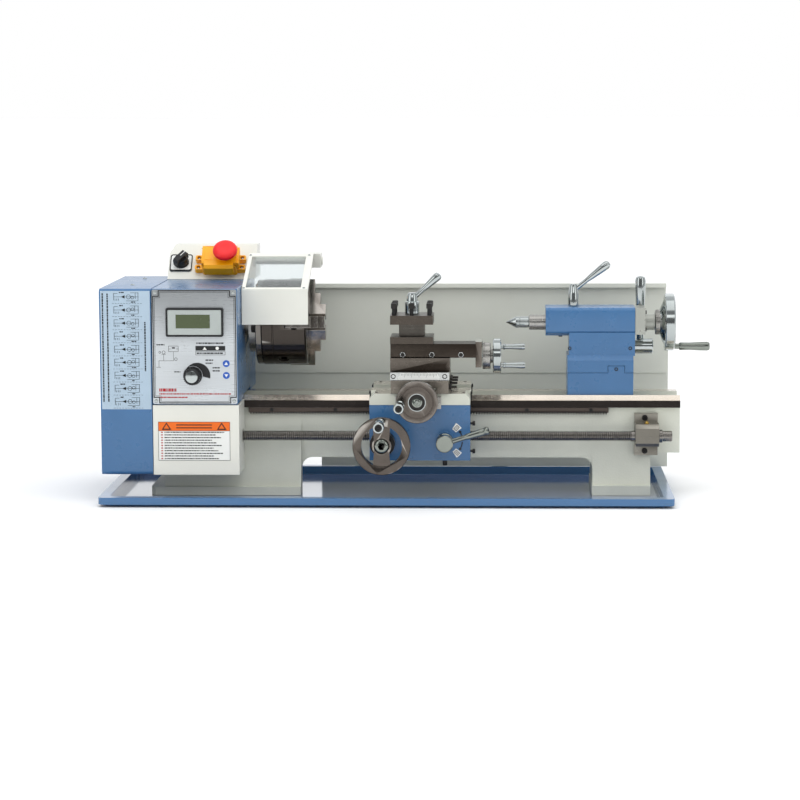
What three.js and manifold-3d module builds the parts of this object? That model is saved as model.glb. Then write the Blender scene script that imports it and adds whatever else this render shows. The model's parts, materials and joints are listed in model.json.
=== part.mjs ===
// Benchtop metal lathe: bed on a chip tray, geared headstock with a three-jaw chuck, carriage with
// cross slide, top slide and four-way tool post, and a tailstock.
// Millimetres. +X runs from the headstock to the tailstock, +Y away from the operator, +Z up.
// The origin is under the middle of the chip tray, and the spindle axis lies in the plane Y = 0.
import * as THREE from "three";
import { mergeVertices } from "three/addons/utils/BufferGeometryUtils.js";
import Module from "manifold-3d";

const wasm = await Module();
wasm.setup();

// ---------- driving dimensions ----------
const GAP = 0.3; // clearance between pieces that touch
const SPINDLE_Z = 248.7; // height of the spindle and quill axis
const TRAY = { halfLength: 409.4, front: -180, back: 150, rim: 14, flange: 15, sheet: 1.5 };
const BED = { left: -340, right: 424, archLeft: -128, archRight: 297, archTop: 54.5, footTop: 118 };
const WAY = { apex: 146, ledge: 139, under: 128.7, front: -55, rearTop: 144.5, back: 45 };
const SCREW = { y: -76, z: 90, radius: 7.7, left: -376, right: 411 }; // lead screw
const HEAD = { left: -335, right: -212, front: -132, back: 130, bottom: 141.7, top: 308 };
const COVER_LEFT = -410; // end of the change gear cover
const COVER_BOTTOM = 40;
const GEAR_MODULE = 3; // change gears
const GEAR_TEETH = { spindle: 16, idler: 40, screw: 24 };
const GEAR_X = [-374, -362]; // plane of the change gears
const BELT_X = [-353, -339]; // plane of the belt drive
const MOTOR = { y: 86, z: 225, radius: 32, pulley: 16 };
const SPINDLE_PULLEY = 40;
const CHUCK = { radius: 62.5, back: -194.7, seam: -185, face: -119.7, bore: 16, slot: 17.6 };
const JAW_ANGLES = [-35, 85, 205]; // from straight up towards the operator, degrees
const CARRIAGE_X = 47; // middle of the saddle
const SADDLE = { half: 72.5, front: -105, back: 61, bottom: 138.4, top: 154.7 };
const RACK = { module: 1.25, left: -205, right: 320, front: -55, back: -48.3, tip: 118.6 };
const APRON = { wheelX: -53, wheelZ: 85, leverX: 36.3, leverZ: 87, bottom: 57.8, plate: 8 };
const APRON_TEETH = { wheel: 12, large: 36, pinion: 14 };
const CROSS = { screwX: -2, screwZ: 149.4, half: 41.5, front: -110, back: 60, top: 173.7 };
const TOP_SLIDE_Y = -62.5; // swivel centre of the top slide
const POST = { x: -12, y: 1.5, half: 31 };
const TAIL_X = 308.5; // middle of the tailstock
const GUARD_HINGE = { y: 78, z: 334 };
const SLOPE = { y: 55, z: 308.3, topY: 100, topZ: 358 }; // sloped front of the switch box

// ---------- materials ----------
function paint(color, roughness = 0.35, metalness = 0) {
  return new THREE.MeshStandardMaterial({ color, roughness, metalness });
}

const BLUE = paint(0x5a83ae);
const CREAM = paint(0xcdd0c6, 0.5);
const WHITE = paint(0xe2e2dc, 0.45);
const SHEET_GREY = paint(0xb4b7af, 0.45);
const DARK_STEEL = paint(0x3f3733, 0.4, 0.8);
const STEEL = paint(0x8d8b86, 0.3, 1);
const CHROME = paint(0xc8cacb, 0.12, 1);
const PLATE = paint(0xc3cbd0, 0.3, 0.8);
const BLACK = paint(0x17181a, 0.45);
const RUBBER = paint(0x202020, 0.8);
const YELLOW = paint(0xfdb813, 0.4);
const RED = paint(0xf0202a, 0.35);
const CLEAR = new THREE.MeshStandardMaterial({
  color: 0xdde4e4,
  roughness: 0.1,
  transparent: true,
  opacity: 0.35,
});

// ---------- solids ----------
// A closed three.js geometry as a manifold-3d solid.
function solid(geometry) {
  const bare = geometry.clone();
  bare.deleteAttribute("normal");
  bare.deleteAttribute("uv");
  const merged = mergeVertices(bare, 1e-4);
  const vertProperties = new Float32Array(merged.attributes.position.array);
  const triVerts = new Uint32Array(merged.index.array);
  return new wasm.Manifold(new wasm.Mesh({ numProp: 3, vertProperties, triVerts }));
}

function geometryOf(made) {
  const mesh = made.getMesh();
  const geometry = new THREE.BufferGeometry();
  geometry.setAttribute("position", new THREE.BufferAttribute(mesh.vertProperties, 3));
  geometry.setIndex(new THREE.BufferAttribute(mesh.triVerts, 1));
  const faceted = geometry.toNonIndexed();
  faceted.computeVertexNormals();
  return faceted;
}

function join(...solids) {
  return solids.reduce((sum, next) => sum.add(next));
}

function cut(body, ...tools) {
  return tools.reduce((rest, tool) => rest.subtract(tool), body);
}

function block([x0, x1], [y0, y1], [z0, z1]) {
  const box = new THREE.BoxGeometry(x1 - x0, y1 - y0, z1 - z0);
  return solid(box.translate((x0 + x1) / 2, (y0 + y1) / 2, (z0 + z1) / 2));
}

// Straight extrusions of an outline: (y, z) along X, (x, z) along Y and (x, y) along Z.
const AXES = {
  x: [new THREE.Vector3(0, 1, 0), new THREE.Vector3(0, 0, 1), new THREE.Vector3(1, 0, 0)],
  y: [new THREE.Vector3(1, 0, 0), new THREE.Vector3(0, 0, 1), new THREE.Vector3(0, -1, 0)],
  z: [new THREE.Vector3(1, 0, 0), new THREE.Vector3(0, 1, 0), new THREE.Vector3(0, 0, 1)],
};

function extrude(axis, outline, from, to) {
  const shape = Array.isArray(outline) ? polygon(outline) : outline;
  const options = { depth: to - from, bevelEnabled: false, curveSegments: 4 };
  const geometry = new THREE.ExtrudeGeometry(shape, options);
  geometry.translate(0, 0, axis === "y" ? -to : from);
  return solid(geometry.applyMatrix4(new THREE.Matrix4().makeBasis(...AXES[axis])));
}

function polygon(points) {
  return new THREE.Shape(points.map(([a, b]) => new THREE.Vector2(a, b)));
}

function roundedRect([a0, a1], [b0, b1], r) {
  const shape = new THREE.Shape();
  shape.moveTo(a0 + r, b0);
  shape.absarc(a1 - r, b0 + r, r, -Math.PI / 2, 0);
  shape.absarc(a1 - r, b1 - r, r, 0, Math.PI / 2);
  shape.absarc(a0 + r, b1 - r, r, Math.PI / 2, Math.PI);
  shape.absarc(a0 + r, b0 + r, r, Math.PI, 1.5 * Math.PI);
  return shape;
}

// A cylinder or cone along an axis: the centre is the other two coordinates in X, Y, Z order.
function rod(axis, [a, b], from, to, radius, endRadius = radius) {
  const start = { x: [from, a, b], y: [a, from, b], z: [a, b, from] }[axis];
  const end = { x: [to, a, b], y: [a, to, b], z: [a, b, to] }[axis];
  return strut(start, end, radius, endRadius);
}

// Sides of a round piece: enough for its size.
function sidesOf(radius) {
  if (radius < 6) return radius < 4.5 ? 8 : 10;
  if (radius < 11.7) return 14;
  return radius < 25 ? 20 : 28;
}

function strut(start, end, radius, endRadius = radius) {
  const from = new THREE.Vector3(...start);
  const along = new THREE.Vector3(...end).sub(from);
  const sides = sidesOf(Math.max(radius, endRadius));
  const geometry = new THREE.CylinderGeometry(endRadius, radius, along.length(), sides);
  const turn = new THREE.Quaternion().setFromUnitVectors(
    new THREE.Vector3(0, 1, 0),
    along.clone().normalize(),
  );
  geometry.applyQuaternion(turn).translate(...from.addScaledVector(along, 0.5).toArray());
  return solid(geometry);
}

function ring(axis, centre, from, to, outer, inner) {
  return cut(
    rod(axis, centre, from, to, outer),
    rod(axis, centre, from - 1, to + 1, inner),
  );
}

// Outline of a spur gear with straight-sided teeth, thinned for running clearance.
function gearOutline(teeth, module, phase) {
  const pitchRadius = (teeth * module) / 2;
  const tooth = (2 * Math.PI) / teeth;
  const root = pitchRadius - 1.25 * module;
  const tip = pitchRadius + module;
  const corners = [
    [root, -0.28],
    [tip, -0.1],
    [tip, 0.1],
    [root, 0.28],
  ];
  const points = [];
  for (let i = 0; i < teeth; i++) {
    for (const [radius, part] of corners) {
      const angle = phase + (i + part) * tooth;
      points.push([radius * Math.cos(angle), radius * Math.sin(angle)]);
    }
  }
  return points;
}

// Phase of a gear that meshes with another whose centre lies in the given direction from it.
function meshPhase(drivingTeeth, drivingPhase, teeth, direction) {
  const lead = drivingPhase - direction;
  return direction + Math.PI - (lead * drivingTeeth) / teeth + Math.PI / teeth;
}

function gearSolid(axis, [a, b], from, to, outline) {
  const placed = outline.map(([u, v]) => [u + a, v + b]);
  return extrude(axis, placed, from, to);
}

// ---------- scene graph ----------
const lathe = new THREE.Group();

function group(parent, x = 0, y = 0, z = 0) {
  const made = new THREE.Group();
  made.position.set(x, y, z);
  parent.add(made);
  return made;
}

function piece(parent, name, made, material) {
  const mesh = new THREE.Mesh(geometryOf(made), material);
  mesh.name = name;
  parent.add(mesh);
  return mesh;
}

// ---------- tray and bed ----------
function chipTray() {
  const { halfLength: half, front, back, rim, flange, sheet } = TRAY;
  const rounded = (inset, radius) =>
    roundedRect([-half + inset, half - inset], [front + inset, back - inset], radius);
  const hem = extrude("z", rounded(0, 8), 4, rim);
  const underHem = extrude("z", rounded(sheet, 7), 3, rim - sheet);
  const pan = extrude("z", rounded(flange - sheet, 12), 0, rim);
  const hollow = extrude("z", rounded(flange, 11), sheet, rim + 1);
  return cut(join(cut(hem, underHem), pan), hollow);
}

function fillet(cornerX, side, top, radius, walls) {
  const shape = new THREE.Shape();
  shape.moveTo(cornerX, top + 1);
  shape.lineTo(cornerX, top - radius);
  if (side > 0) {
    shape.absarc(cornerX + radius, top - radius, radius, Math.PI, Math.PI / 2, true);
    shape.lineTo(cornerX + radius, top + 1);
  } else {
    shape.absarc(cornerX - radius, top - radius, radius, 0, Math.PI / 2, false);
    shape.lineTo(cornerX - radius, top + 1);
  }
  return join(...walls.map(([from, to]) => extrude("y", shape, from, to)));
}

function bedCasting() {
  const { left, right, archLeft, archRight, archTop, footTop } = BED;
  const overhang = 62;
  const frontRail = [
    [-48, archTop],
    [-36, archTop],
    [-36, 120],
    [-28, 130],
    [-28, WAY.ledge],
    [-36, WAY.ledge],
    [-43, WAY.apex],
    [-45, WAY.apex],
    [-52, WAY.ledge],
    [WAY.front, WAY.ledge],
    [WAY.front, WAY.under],
    [-48, WAY.under],
  ];
  const rearRail = [
    [28, archTop],
    [40, archTop],
    [40, 130],
    [WAY.back, 132],
    [WAY.back, WAY.rearTop],
    [20, WAY.rearTop],
    [20, 130],
    [28, 120],
  ];
  // Both feet are hollow above their floor, and their front slopes out from the rail.
  const foot = (frontY, slopeTop) => [
    [frontY, 13],
    [50, 13],
    [40, footTop],
    [28, footTop],
    [28, 60],
    [-36, 60],
    [-36, footTop],
    [-48, footTop],
    [-48, slopeTop],
  ];
  const rails = join(
    extrude("x", frontRail, left, right),
    extrude("x", rearRail, left, right),
    block([left, left + 8], [-37, 29], [archTop, footTop]),
    block([right - 8, right], [-37, 29], [archTop, footTop]),
  );
  const ribs = [-60, 20, 100, 180, 260].map((x) => block([x - 4, x + 4], [-37, 29], [60, 116]));
  const leftFlange = polygon([
    [-340, -75],
    [archLeft, -75],
    [archLeft, 57],
    [-347, 57],
    [-347, -66],
  ]);
  const feet = [
    extrude("x", foot(-66, footTop - 1), -328, archLeft),
    extrude("x", foot(-62, 59), archRight, 381),
    extrude("z", leftFlange, TRAY.sheet + GAP, 14),
    block([archRight - 1, 380.5], [-70, 57], [TRAY.sheet + GAP, 16]),
  ];
  const walls = [
    [-48, -36],
    [28, 40],
  ];
  const fillets = [
    fillet(archLeft, 1, archTop, 16, walls),
    fillet(archRight, -1, archTop, 16, walls),
    fillet(381, 1, overhang + 1, 10, walls),
  ];
  const whole = join(rails, ...ribs, ...feet);
  const backStep = block([archLeft - 8, archLeft + 1], [-38, 58], [TRAY.sheet, 60]);
  const trimmed = cut(whole, block([381.01, right + 1], [-80, 60], [archTop - 5, overhang]));
  const leftTrim = block([left - 1, -328], [-60, 60], [archTop - 5, overhang]);
  const screwLug = cut(
    block([-328, -314], [-88, -48], [76, 104]),
    rod("x", [SCREW.y, SCREW.z], -340, -300, SCREW.radius + GAP),
  );
  return join(cut(trimmed, leftTrim, backStep), screwLug, ...fillets);
}

const rackPitch = Math.PI * RACK.module;
const rackCount = Math.floor((RACK.right - RACK.left - 2) / rackPitch);
const firstTooth = RACK.left + (RACK.right - RACK.left - (rackCount - 1) * rackPitch) / 2;
const rackLine = RACK.tip + RACK.module; // pitch line of the rack

function gearRack() {
  const root = RACK.tip + 2.25 * RACK.module;
  const points = [
    [RACK.right, WAY.under - GAP],
    [RACK.left, WAY.under - GAP],
    [RACK.left, root],
  ];
  for (let i = 0; i < rackCount; i++) {
    const x = firstTooth + i * rackPitch;
    points.push([x - 0.29 * rackPitch, root]);
    points.push([x - 0.11 * rackPitch, RACK.tip]);
    points.push([x + 0.11 * rackPitch, RACK.tip]);
    points.push([x + 0.29 * rackPitch, root]);
  }
  points.push([RACK.right, root]);
  return extrude("y", points.reverse(), RACK.front, RACK.back);
}

function rightScrewBracket() {
  const outline = [
    [-58, 78],
    [-90, 76.5],
    [-95, 81.5],
    [-95, 103],
    [-90, 108.7],
    [-58, 108.7],
  ];
  const body = join(
    extrude("x", outline, 357.8, 391.4),
    block([357.5, 391.4], [-58.1, -48.3], [59.7, 120.6]),
  );
  return cut(body, rod("x", [SCREW.y, SCREW.z], 350, 400, SCREW.radius + GAP));
}

function leadScrew() {
  const centre = [SCREW.y, SCREW.z];
  return join(
    rod("x", centre, SCREW.left, SCREW.right, SCREW.radius),
    rod("x", centre, 391.7, 397, 9.5),
    changeGear(GEAR_TEETH.screw, centre, screwPhase),
  );
}

piece(lathe, "chip_tray", chipTray(), BLUE);
piece(lathe, "bed_casting", bedCasting(), CREAM);
piece(lathe, "gear_rack", gearRack(), DARK_STEEL);
piece(lathe, "leadscrew_right_bracket", rightScrewBracket(), STEEL);

// ---------- headstock ----------
const bearingSeat = 31;

function headstockCasting() {
  const { left, right, front, back, bottom, top } = HEAD;
  const axis = [0, SPINDLE_Z];
  const frontWall = 8;
  return cut(
    block([left, right], [front, back], [bottom, top]),
    block([left + 8, right - 10], [front + frontWall, back - 8], [154, top - 8]),
    block([left - 1, right + 1], [WAY.front - 1.5, WAY.back + 1.5], [bottom - 1, WAY.apex + 0.6]),
    rod("x", axis, left - 5, right + 5, bearingSeat),
    rod("x", [MOTOR.y, MOTOR.z], left - 5, left + 12, 12),
  );
}

function beltPath(extra) {
  const from = { y: 0, z: SPINDLE_Z, r: SPINDLE_PULLEY + extra };
  const to = { y: MOTOR.y, z: MOTOR.z, r: MOTOR.pulley + extra };
  const direction = Math.atan2(to.z - from.z, to.y - from.y);
  const spread = Math.acos((from.r - to.r) / Math.hypot(to.y - from.y, to.z - from.z));
  const path = new THREE.Shape();
  path.absarc(from.y, from.z, from.r, direction + spread, direction - spread + 2 * Math.PI);
  path.absarc(to.y, to.z, to.r, direction - spread, direction + spread);
  path.closePath();
  return path;
}

function beltSolid(extra, from, to) {
  const outline = beltPath(extra).getPoints(10);
  return extrude("x", new THREE.Shape(outline.slice(0, -1)), from, to);
}

function driveBelt() {
  const [from, to] = [BELT_X[0] + 1.5, BELT_X[1] - 1.5];
  return cut(beltSolid(3.5, from, to), beltSolid(1.2, from - 1, to + 1));
}

function spindleMotor() {
  const centre = [MOTOR.y, MOTOR.z];
  return join(
    rod("x", centre, -326.7, -232, MOTOR.radius),
    rod("x", centre, -355, -326, 6),
    block([-300, -260], [72, 100], [255, 266]),
  );
}

function changeGearCover() {
  const { front, back, top } = HEAD;
  const wall = 2.5;
  const outer = roundedRect([front, back], [COVER_BOTTOM, top], 6);
  const inner = roundedRect([front + wall, back - wall], [COVER_BOTTOM + wall, top - wall], 4);
  return cut(
    extrude("x", outer, COVER_LEFT, HEAD.left - 0.7),
    extrude("x", inner, COVER_LEFT + wall, HEAD.left + 1),
    rod("x", [0, SPINDLE_Z], COVER_LEFT - 1, COVER_LEFT + 5, 17),
  );
}

function faceplate() {
  const plate = block([-334, -213], [-134.3, HEAD.front - GAP], [143, 307]);
  return cut(plate, rod("y", [-276.3, 183.6], -136, -130, 4));
}

function speedDisplay() {
  const [x0, x1, z0, z1] = [-314, -231.7, 239.9, 281];
  const rim = block([x0, x1], [-139, -134.6], [z0, z1]);
  return cut(rim, block([x0 + 4, x1 - 4], [-140, -138], [z0 + 4, z1 - 4]));
}

function speedKnob() {
  const centre = [-276.3, 183.6];
  return join(
    rod("y", centre, -152, -134.7, 11.5, 13.4),
    rod("y", centre, -136, -132.6, 3.6),
  );
}

// The electrics box is a cover open at the back, where it closes against the bed.
function electricsBox() {
  const wall = 2;
  const outline = [
    [HEAD.front, 40],
    [-62.7, 40],
    [-56.5, 76],
    [-56.5, 141.2],
    [HEAD.front, 141.2],
  ];
  const inner = block([-335 + wall, -211 - wall], [HEAD.front + wall, 0], [40 + wall, 141.2 - wall]);
  const hole = rod("x", [SCREW.y, SCREW.z], -340, -200, 11);
  return cut(extrude("x", outline, -335, -211), inner, hole);
}

piece(lathe, "headstock_casting", headstockCasting(), BLUE);
piece(lathe, "front_bearing", ring("x", [0, SPINDLE_Z], -232, -213, 30.7, 20.3), STEEL);
piece(lathe, "rear_bearing", ring("x", [0, SPINDLE_Z], -334, -320, 30.7, 15.3), STEEL);
piece(lathe, "spindle_motor", spindleMotor(), BLACK);
piece(lathe, "drive_belt", driveBelt(), RUBBER);
piece(lathe, "change_gear_cover", changeGearCover(), BLUE);
piece(lathe, "control_faceplate", faceplate(), PLATE);
piece(lathe, "speed_display", speedDisplay(), BLACK);
piece(lathe, "speed_knob", speedKnob(), BLACK);
piece(lathe, "electrics_box", electricsBox(), WHITE);

const motorPulley = ring("x", [MOTOR.y, MOTOR.z], BELT_X[0], BELT_X[1], MOTOR.pulley, 6.3);
piece(lathe, "motor_pulley", motorPulley, STEEL);

// ---------- spindle and chuck ----------
const spindle = group(lathe, 0, 0, SPINDLE_Z);

function spindleShaft() {
  const shaft = join(
    rod("x", [0, 0], -398, -233, 15),
    rod("x", [0, 0], -233.5, -205, 20),
    rod("x", [0, 0], -205.5, CHUCK.back - GAP, 44),
  );
  return cut(shaft, rod("x", [0, 0], -400, -190, 10));
}

function chuckBody() {
  const { radius, seam, face, bore, slot } = CHUCK;
  const chamfer = 1.5;
  const body = join(
    rod("x", [0, 0], seam + GAP, face - chamfer, radius),
    rod("x", [0, 0], face - chamfer - 0.01, face, radius, radius - chamfer),
  );
  const tools = [rod("x", [0, 0], seam - 1, face + 1, bore)];
  for (const degrees of JAW_ANGLES) {
    const slotGeometry = new THREE.BoxGeometry(32, slot, 70);
    slotGeometry.translate(face - 14, 0, 40);
    tools.push(solid(slotGeometry.rotateX(THREE.MathUtils.degToRad(degrees))));
    const socket = new THREE.BoxGeometry(9, 9, 20).translate(face - 44, 0, 58);
    tools.push(solid(socket.rotateX(THREE.MathUtils.degToRad(degrees + 60))));
  }
  return cut(body, ...tools);
}

// One stepped jaw pointing straight up, in the spindle's frame.
function chuckJaw() {
  const half = CHUCK.slot / 2 - GAP;
  const side = [
    [-149.3, 9],
    [-95, 9],
    [-95, 26],
    [-103.3, 26],
    [-103.3, 45],
    [-112.3, 45],
    [-112.3, 69],
    [-149.3, 69],
  ];
  return extrude("y", side, -half, half);
}

function spindlePulley() {
  const [from, to] = BELT_X;
  return ring("x", [0, 0], from, to, SPINDLE_PULLEY, 15.3);
}

piece(spindle, "spindle", spindleShaft(), STEEL);
piece(spindle, "chuck_backplate", ring("x", [0, 0], CHUCK.back, CHUCK.seam, CHUCK.radius, 16), STEEL);
piece(spindle, "chuck_body", chuckBody(), STEEL);
JAW_ANGLES.forEach((degrees, i) => {
  const jaw = piece(spindle, `chuck_jaw_${i + 1}`, chuckJaw(), STEEL);
  jaw.rotation.x = THREE.MathUtils.degToRad(degrees);
});
piece(spindle, "spindle_pulley", spindlePulley(), STEEL);

// ---------- change gears ----------
const pitchRadius = (teeth) => (teeth * GEAR_MODULE) / 2;

// Centre of the idler, which meshes with the spindle gear and the lead screw gear.
function idlerCentre() {
  const first = pitchRadius(GEAR_TEETH.spindle) + pitchRadius(GEAR_TEETH.idler);
  const second = pitchRadius(GEAR_TEETH.screw) + pitchRadius(GEAR_TEETH.idler);
  const line = new THREE.Vector2(SCREW.y, SCREW.z - SPINDLE_Z);
  const distance = line.length();
  const along = (first ** 2 - second ** 2 + distance ** 2) / (2 * distance);
  const aside = Math.sqrt(first ** 2 - along ** 2);
  const unit = line.clone().normalize();
  return [unit.x * along + unit.y * aside, SPINDLE_Z + unit.y * along - unit.x * aside];
}

const idler = idlerCentre();
const toIdler = Math.atan2(idler[1] - SPINDLE_Z, idler[0]);
const toScrew = Math.atan2(SCREW.z - idler[1], SCREW.y - idler[0]);
const idlerPhase = meshPhase(GEAR_TEETH.spindle, 0, GEAR_TEETH.idler, toIdler);
const screwPhase = meshPhase(GEAR_TEETH.idler, idlerPhase, GEAR_TEETH.screw, toScrew);

function changeGear(teeth, centre, phase) {
  return gearSolid("x", centre, GEAR_X[0], GEAR_X[1], gearOutline(teeth, GEAR_MODULE, phase));
}

function boredGear(teeth, centre, phase, bore) {
  const hole = rod("x", centre, GEAR_X[0] - 1, GEAR_X[1] + 1, bore);
  return cut(changeGear(teeth, centre, phase), hole);
}

function gearBanjo() {
  const plate = new THREE.Shape();
  const screwRadius = 17;
  const studRadius = 12;
  const angle = toScrew;
  plate.absarc(SCREW.y, SCREW.z, screwRadius, angle - Math.PI / 2, angle + Math.PI / 2);
  plate.absarc(idler[0], idler[1], studRadius, angle + Math.PI / 2, angle + 1.5 * Math.PI);
  const banjo = extrude("x", plate, -359, -355);
  const stud = rod("x", idler, -377, -358, 7);
  return join(cut(banjo, rod("x", [SCREW.y, SCREW.z], -365, -350, SCREW.radius + 0.6)), stud);
}

piece(spindle, "spindle_gear", boredGear(GEAR_TEETH.spindle, [0, 0], 0, 15.3), STEEL);
piece(lathe, "idler_gear", boredGear(GEAR_TEETH.idler, idler, idlerPhase, 7.3), STEEL);
piece(lathe, "lead_screw", leadScrew(), STEEL);
piece(lathe, "gear_banjo", gearBanjo(), DARK_STEEL);

// ---------- switches on the headstock ----------
const slopeAngle = Math.atan2(SLOPE.topZ - SLOPE.z, SLOPE.topY - SLOPE.y);

function switchBox() {
  const outline = (inset) => [
    [SLOPE.y + 1.4 * inset, SLOPE.z],
    [SLOPE.topY + 0.4 * inset, SLOPE.topZ - inset],
    [140 - inset, SLOPE.topZ - inset],
    [140 - inset, SLOPE.z],
  ];
  const shell = cut(
    extrude("x", outline(0), -336, -204),
    extrude("x", outline(3), -314, -207),
    block([-314, -207], [SLOPE.y + 5, 137], [SLOPE.z - 1, SLOPE.z + 1]),
    extrude("y", [[-337, 344], [-337, 359], [-327, 359]], 50, 145),
  );
  const pivot = rod("x", [GUARD_HINGE.y, GUARD_HINGE.z], -208, -104, 6);
  const wallPad = block([-209, -204], [70, 96], [322, 346]);
  return join(shell, pivot, wallPad);
}

// Frame on the sloped face: X along the lathe, Y up the slope, Z out of the face.
const panel = group(lathe, 0, SLOPE.y, SLOPE.z);
panel.rotation.x = slopeAngle;

const STOP_BUTTON = [-247, 22];

function directionKnob() {
  const bar = block([-4.5, 4.5], [-12.5, 12.5], [8, 18]).rotate([0, 0, -38]);
  return join(rod("z", [-317, 31], 1.5, 12, 11.5), bar.translate([-317, 31, 0]));
}

function stopBase() {
  const half = 26;
  const body = join(
    block([-257 - half, -257 + half], [8, 42], [GAP, 20]),
    block([-295, -219], [12, 20], [GAP, 9]),
    block([-295, -219], [30, 38], [GAP, 9]),
  );
  return cut(body, rod("z", [-265, 31], -1, 30, 6));
}

function stopFlap() {
  const lid = join(
    block([-283, -231], [9, 42], [21, 28.5]),
    block([-279, -235], [GAP, 7.6], [10, 28.5]),
    block([-279, -235], [7, 12], [21, 28.5]),
  );
  return cut(lid, rod("z", STOP_BUTTON, 18, 36, 7.7));
}

function stopButton() {
  return join(
    rod("z", STOP_BUTTON, 25, 41, 7),
    rod("z", STOP_BUTTON, 37, 41, 17, 18.5),
    rod("z", STOP_BUTTON, 41, 47.5, 18.5, 13),
  );
}

piece(lathe, "switch_box", switchBox(), WHITE);
piece(panel, "direction_knob", directionKnob(), BLACK);
piece(panel, "stop_switch_base", stopBase(), YELLOW);
piece(panel, "stop_flap", stopFlap(), YELLOW);
piece(panel, "stop_button", stopButton(), RED);

// ---------- guards ----------
function chuckGuard() {
  const sheet = 1.5;
  const profile = [
    [-80, 252],
    [-80 + sheet, 252],
    [-80 + sheet, 302.5],
    [38, 345.5],
    [60, 345.5],
    [60, 347],
    [37.5, 347],
    [-80, 303.5],
  ];
  const cheek = [
    [-79, 298],
    [-79, 303],
    [38, 346],
    [38, 341.5],
  ];
  const shell = extrude("x", profile, -211, -115);
  const window = block([-205.5, -125.5], [-74, 30], [300, 350]);
  const frame = join(cut(shell, window), extrude("x", cheek, -116.5, -115));
  const lug = block([-124, -106], [59, 97], [325, 346]);
  return cut(join(frame, lug), rod("x", [GUARD_HINGE.y, GUARD_HINGE.z], -130, -100, 6.3));
}

function guardWindow() {
  const slope = (347 - 303.5) / (37.5 + 80);
  const under = (y) => 302.5 + (y + 78.5) * ((345.5 - 302.5) / (38 + 78.5)) - GAP - 0.1;
  const pane = [
    [-77, under(-77)],
    [35, under(35)],
    [35 + 2 * slope, under(35) - 2],
    [-77 + 2 * slope, under(-77) - 2],
  ];
  return extrude("x", pane.reverse(), -209.2, -117.5);
}

function splashGuard() {
  const [face, top, bottom, sheet] = [137, 296, 158.7, 1.5];
  const profile = [
    [face, bottom],
    [face + sheet, bottom],
    [face + sheet, top],
    [face - 10, top],
    [face - 10, top - 6],
    [face - 10 + sheet, top - 6],
    [face - 10 + sheet, top - sheet],
    [face, top - sheet],
  ];
  const tab = block([-230, -207], [face, face + sheet], [bottom, 285]);
  return join(extrude("x", profile, -208, 414), tab, rearPanel(face + sheet - 0.1));
}

// The lower sheet behind the guard, with the feet that bolt to the tray's rear flange.
function rearPanel(face) {
  const [bottom, sheet] = [TRAY.rim + GAP, 1.5];
  const plate = block([-230, 418.3], [face, face + sheet], [bottom, 215]);
  const notch = block([-231, -112], [face - 1, face + 3], [bottom - 1, 60]);
  const feet = [-60, 150, 360].map((x) =>
    join(
      block([x, x + 24], [face + 1, face + 3], [TRAY.rim + GAP, 50]),
      block([x, x + 24], [face + 1, face + 10], [TRAY.rim + GAP, TRAY.rim + GAP + 2]),
    ),
  );
  return join(cut(plate, notch), ...feet);
}

piece(lathe, "chuck_guard", chuckGuard(), WHITE);
piece(lathe, "guard_window", guardWindow(), CLEAR);
piece(lathe, "splash_guard", splashGuard(), SHEET_GREY);

// ---------- carriage ----------
const carriage = group(lathe, CARRIAGE_X, 0, 0);

function saddle() {
  const { half, front, back, bottom, top } = SADDLE;
  const frontWing = [
    [front, bottom],
    [-55.4, bottom],
    [-55.4, WAY.ledge + GAP],
    [-52.1, WAY.ledge + GAP],
    [-45.15, WAY.apex + 0.35],
    [-42.85, WAY.apex + 0.35],
    [-35.9, WAY.ledge + GAP],
    [-28, WAY.ledge + GAP],
    [-28, top],
    [front, top],
  ];
  const rearWing = [
    [15, WAY.ledge + GAP],
    [19.6, WAY.ledge + GAP],
    [19.6, WAY.rearTop + 0.4],
    [WAY.back + 0.4, WAY.rearTop + 0.4],
    [WAY.back + 0.4, 132.5],
    [back, 132.5],
    [back, top],
    [15, top],
  ];
  const dovetail = [
    [-19, top - 1],
    [19, top - 1],
    [24, 163],
    [-24, 163],
  ];
  const body = join(
    extrude("x", frontWing, -half, half),
    extrude("x", rearWing, -half, half),
    block([-43, 43], [-30, 18], [WAY.ledge + GAP, top]),
    extrude("y", dovetail, front, 56),
  );
  const { screwX, screwZ } = CROSS;
  const channel = block([screwX - 8, screwX + 8], [-98, 54], [screwZ - 3.3, 165]);
  const frontHole = rod("y", [screwX, screwZ], front - 1, -90, 3.4);
  const corner = (side) => [
    [side * (half + 1), top + 1],
    [side * (half - 8), top + 1],
    [side * (half + 1), top - 9],
  ];
  const corners = [corner(1).reverse(), corner(-1)].map((c) => extrude("y", c, front - 1, -60));
  return cut(body, channel, frontHole, ...corners);
}

function apron() {
  const { half, front } = SADDLE;
  const top = SADDLE.bottom - GAP;
  const { wheelX, wheelZ, leverX, leverZ, bottom, plate } = APRON;
  const wall = 7;
  const shell = join(
    block([-half, half], [front, front + plate], [bottom, top]),
    block([-half, -half + wall], [front, -60], [bottom, top]),
    block([half - wall, half], [front, -60], [bottom, top]),
    block([-half, half], [front, -62], [bottom, bottom + 6]),
    rod("y", [wheelX, wheelZ], front - 7, front + 1, 15),
    rod("y", [leverX, leverZ], front - 5, front + 1, 13),
    block([leverX - 19, leverX - 14], [front, -64], [bottom, top]),
  );
  return cut(
    shell,
    rod("x", [SCREW.y, SCREW.z], -half - 1, half + 1, SCREW.radius + 1.5),
    rod("y", [wheelX, wheelZ], front - 10, front + 20, 7.3),
    rod("y", [leverX, leverZ], front - 10, front + 20, 7),
  );
}

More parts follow.
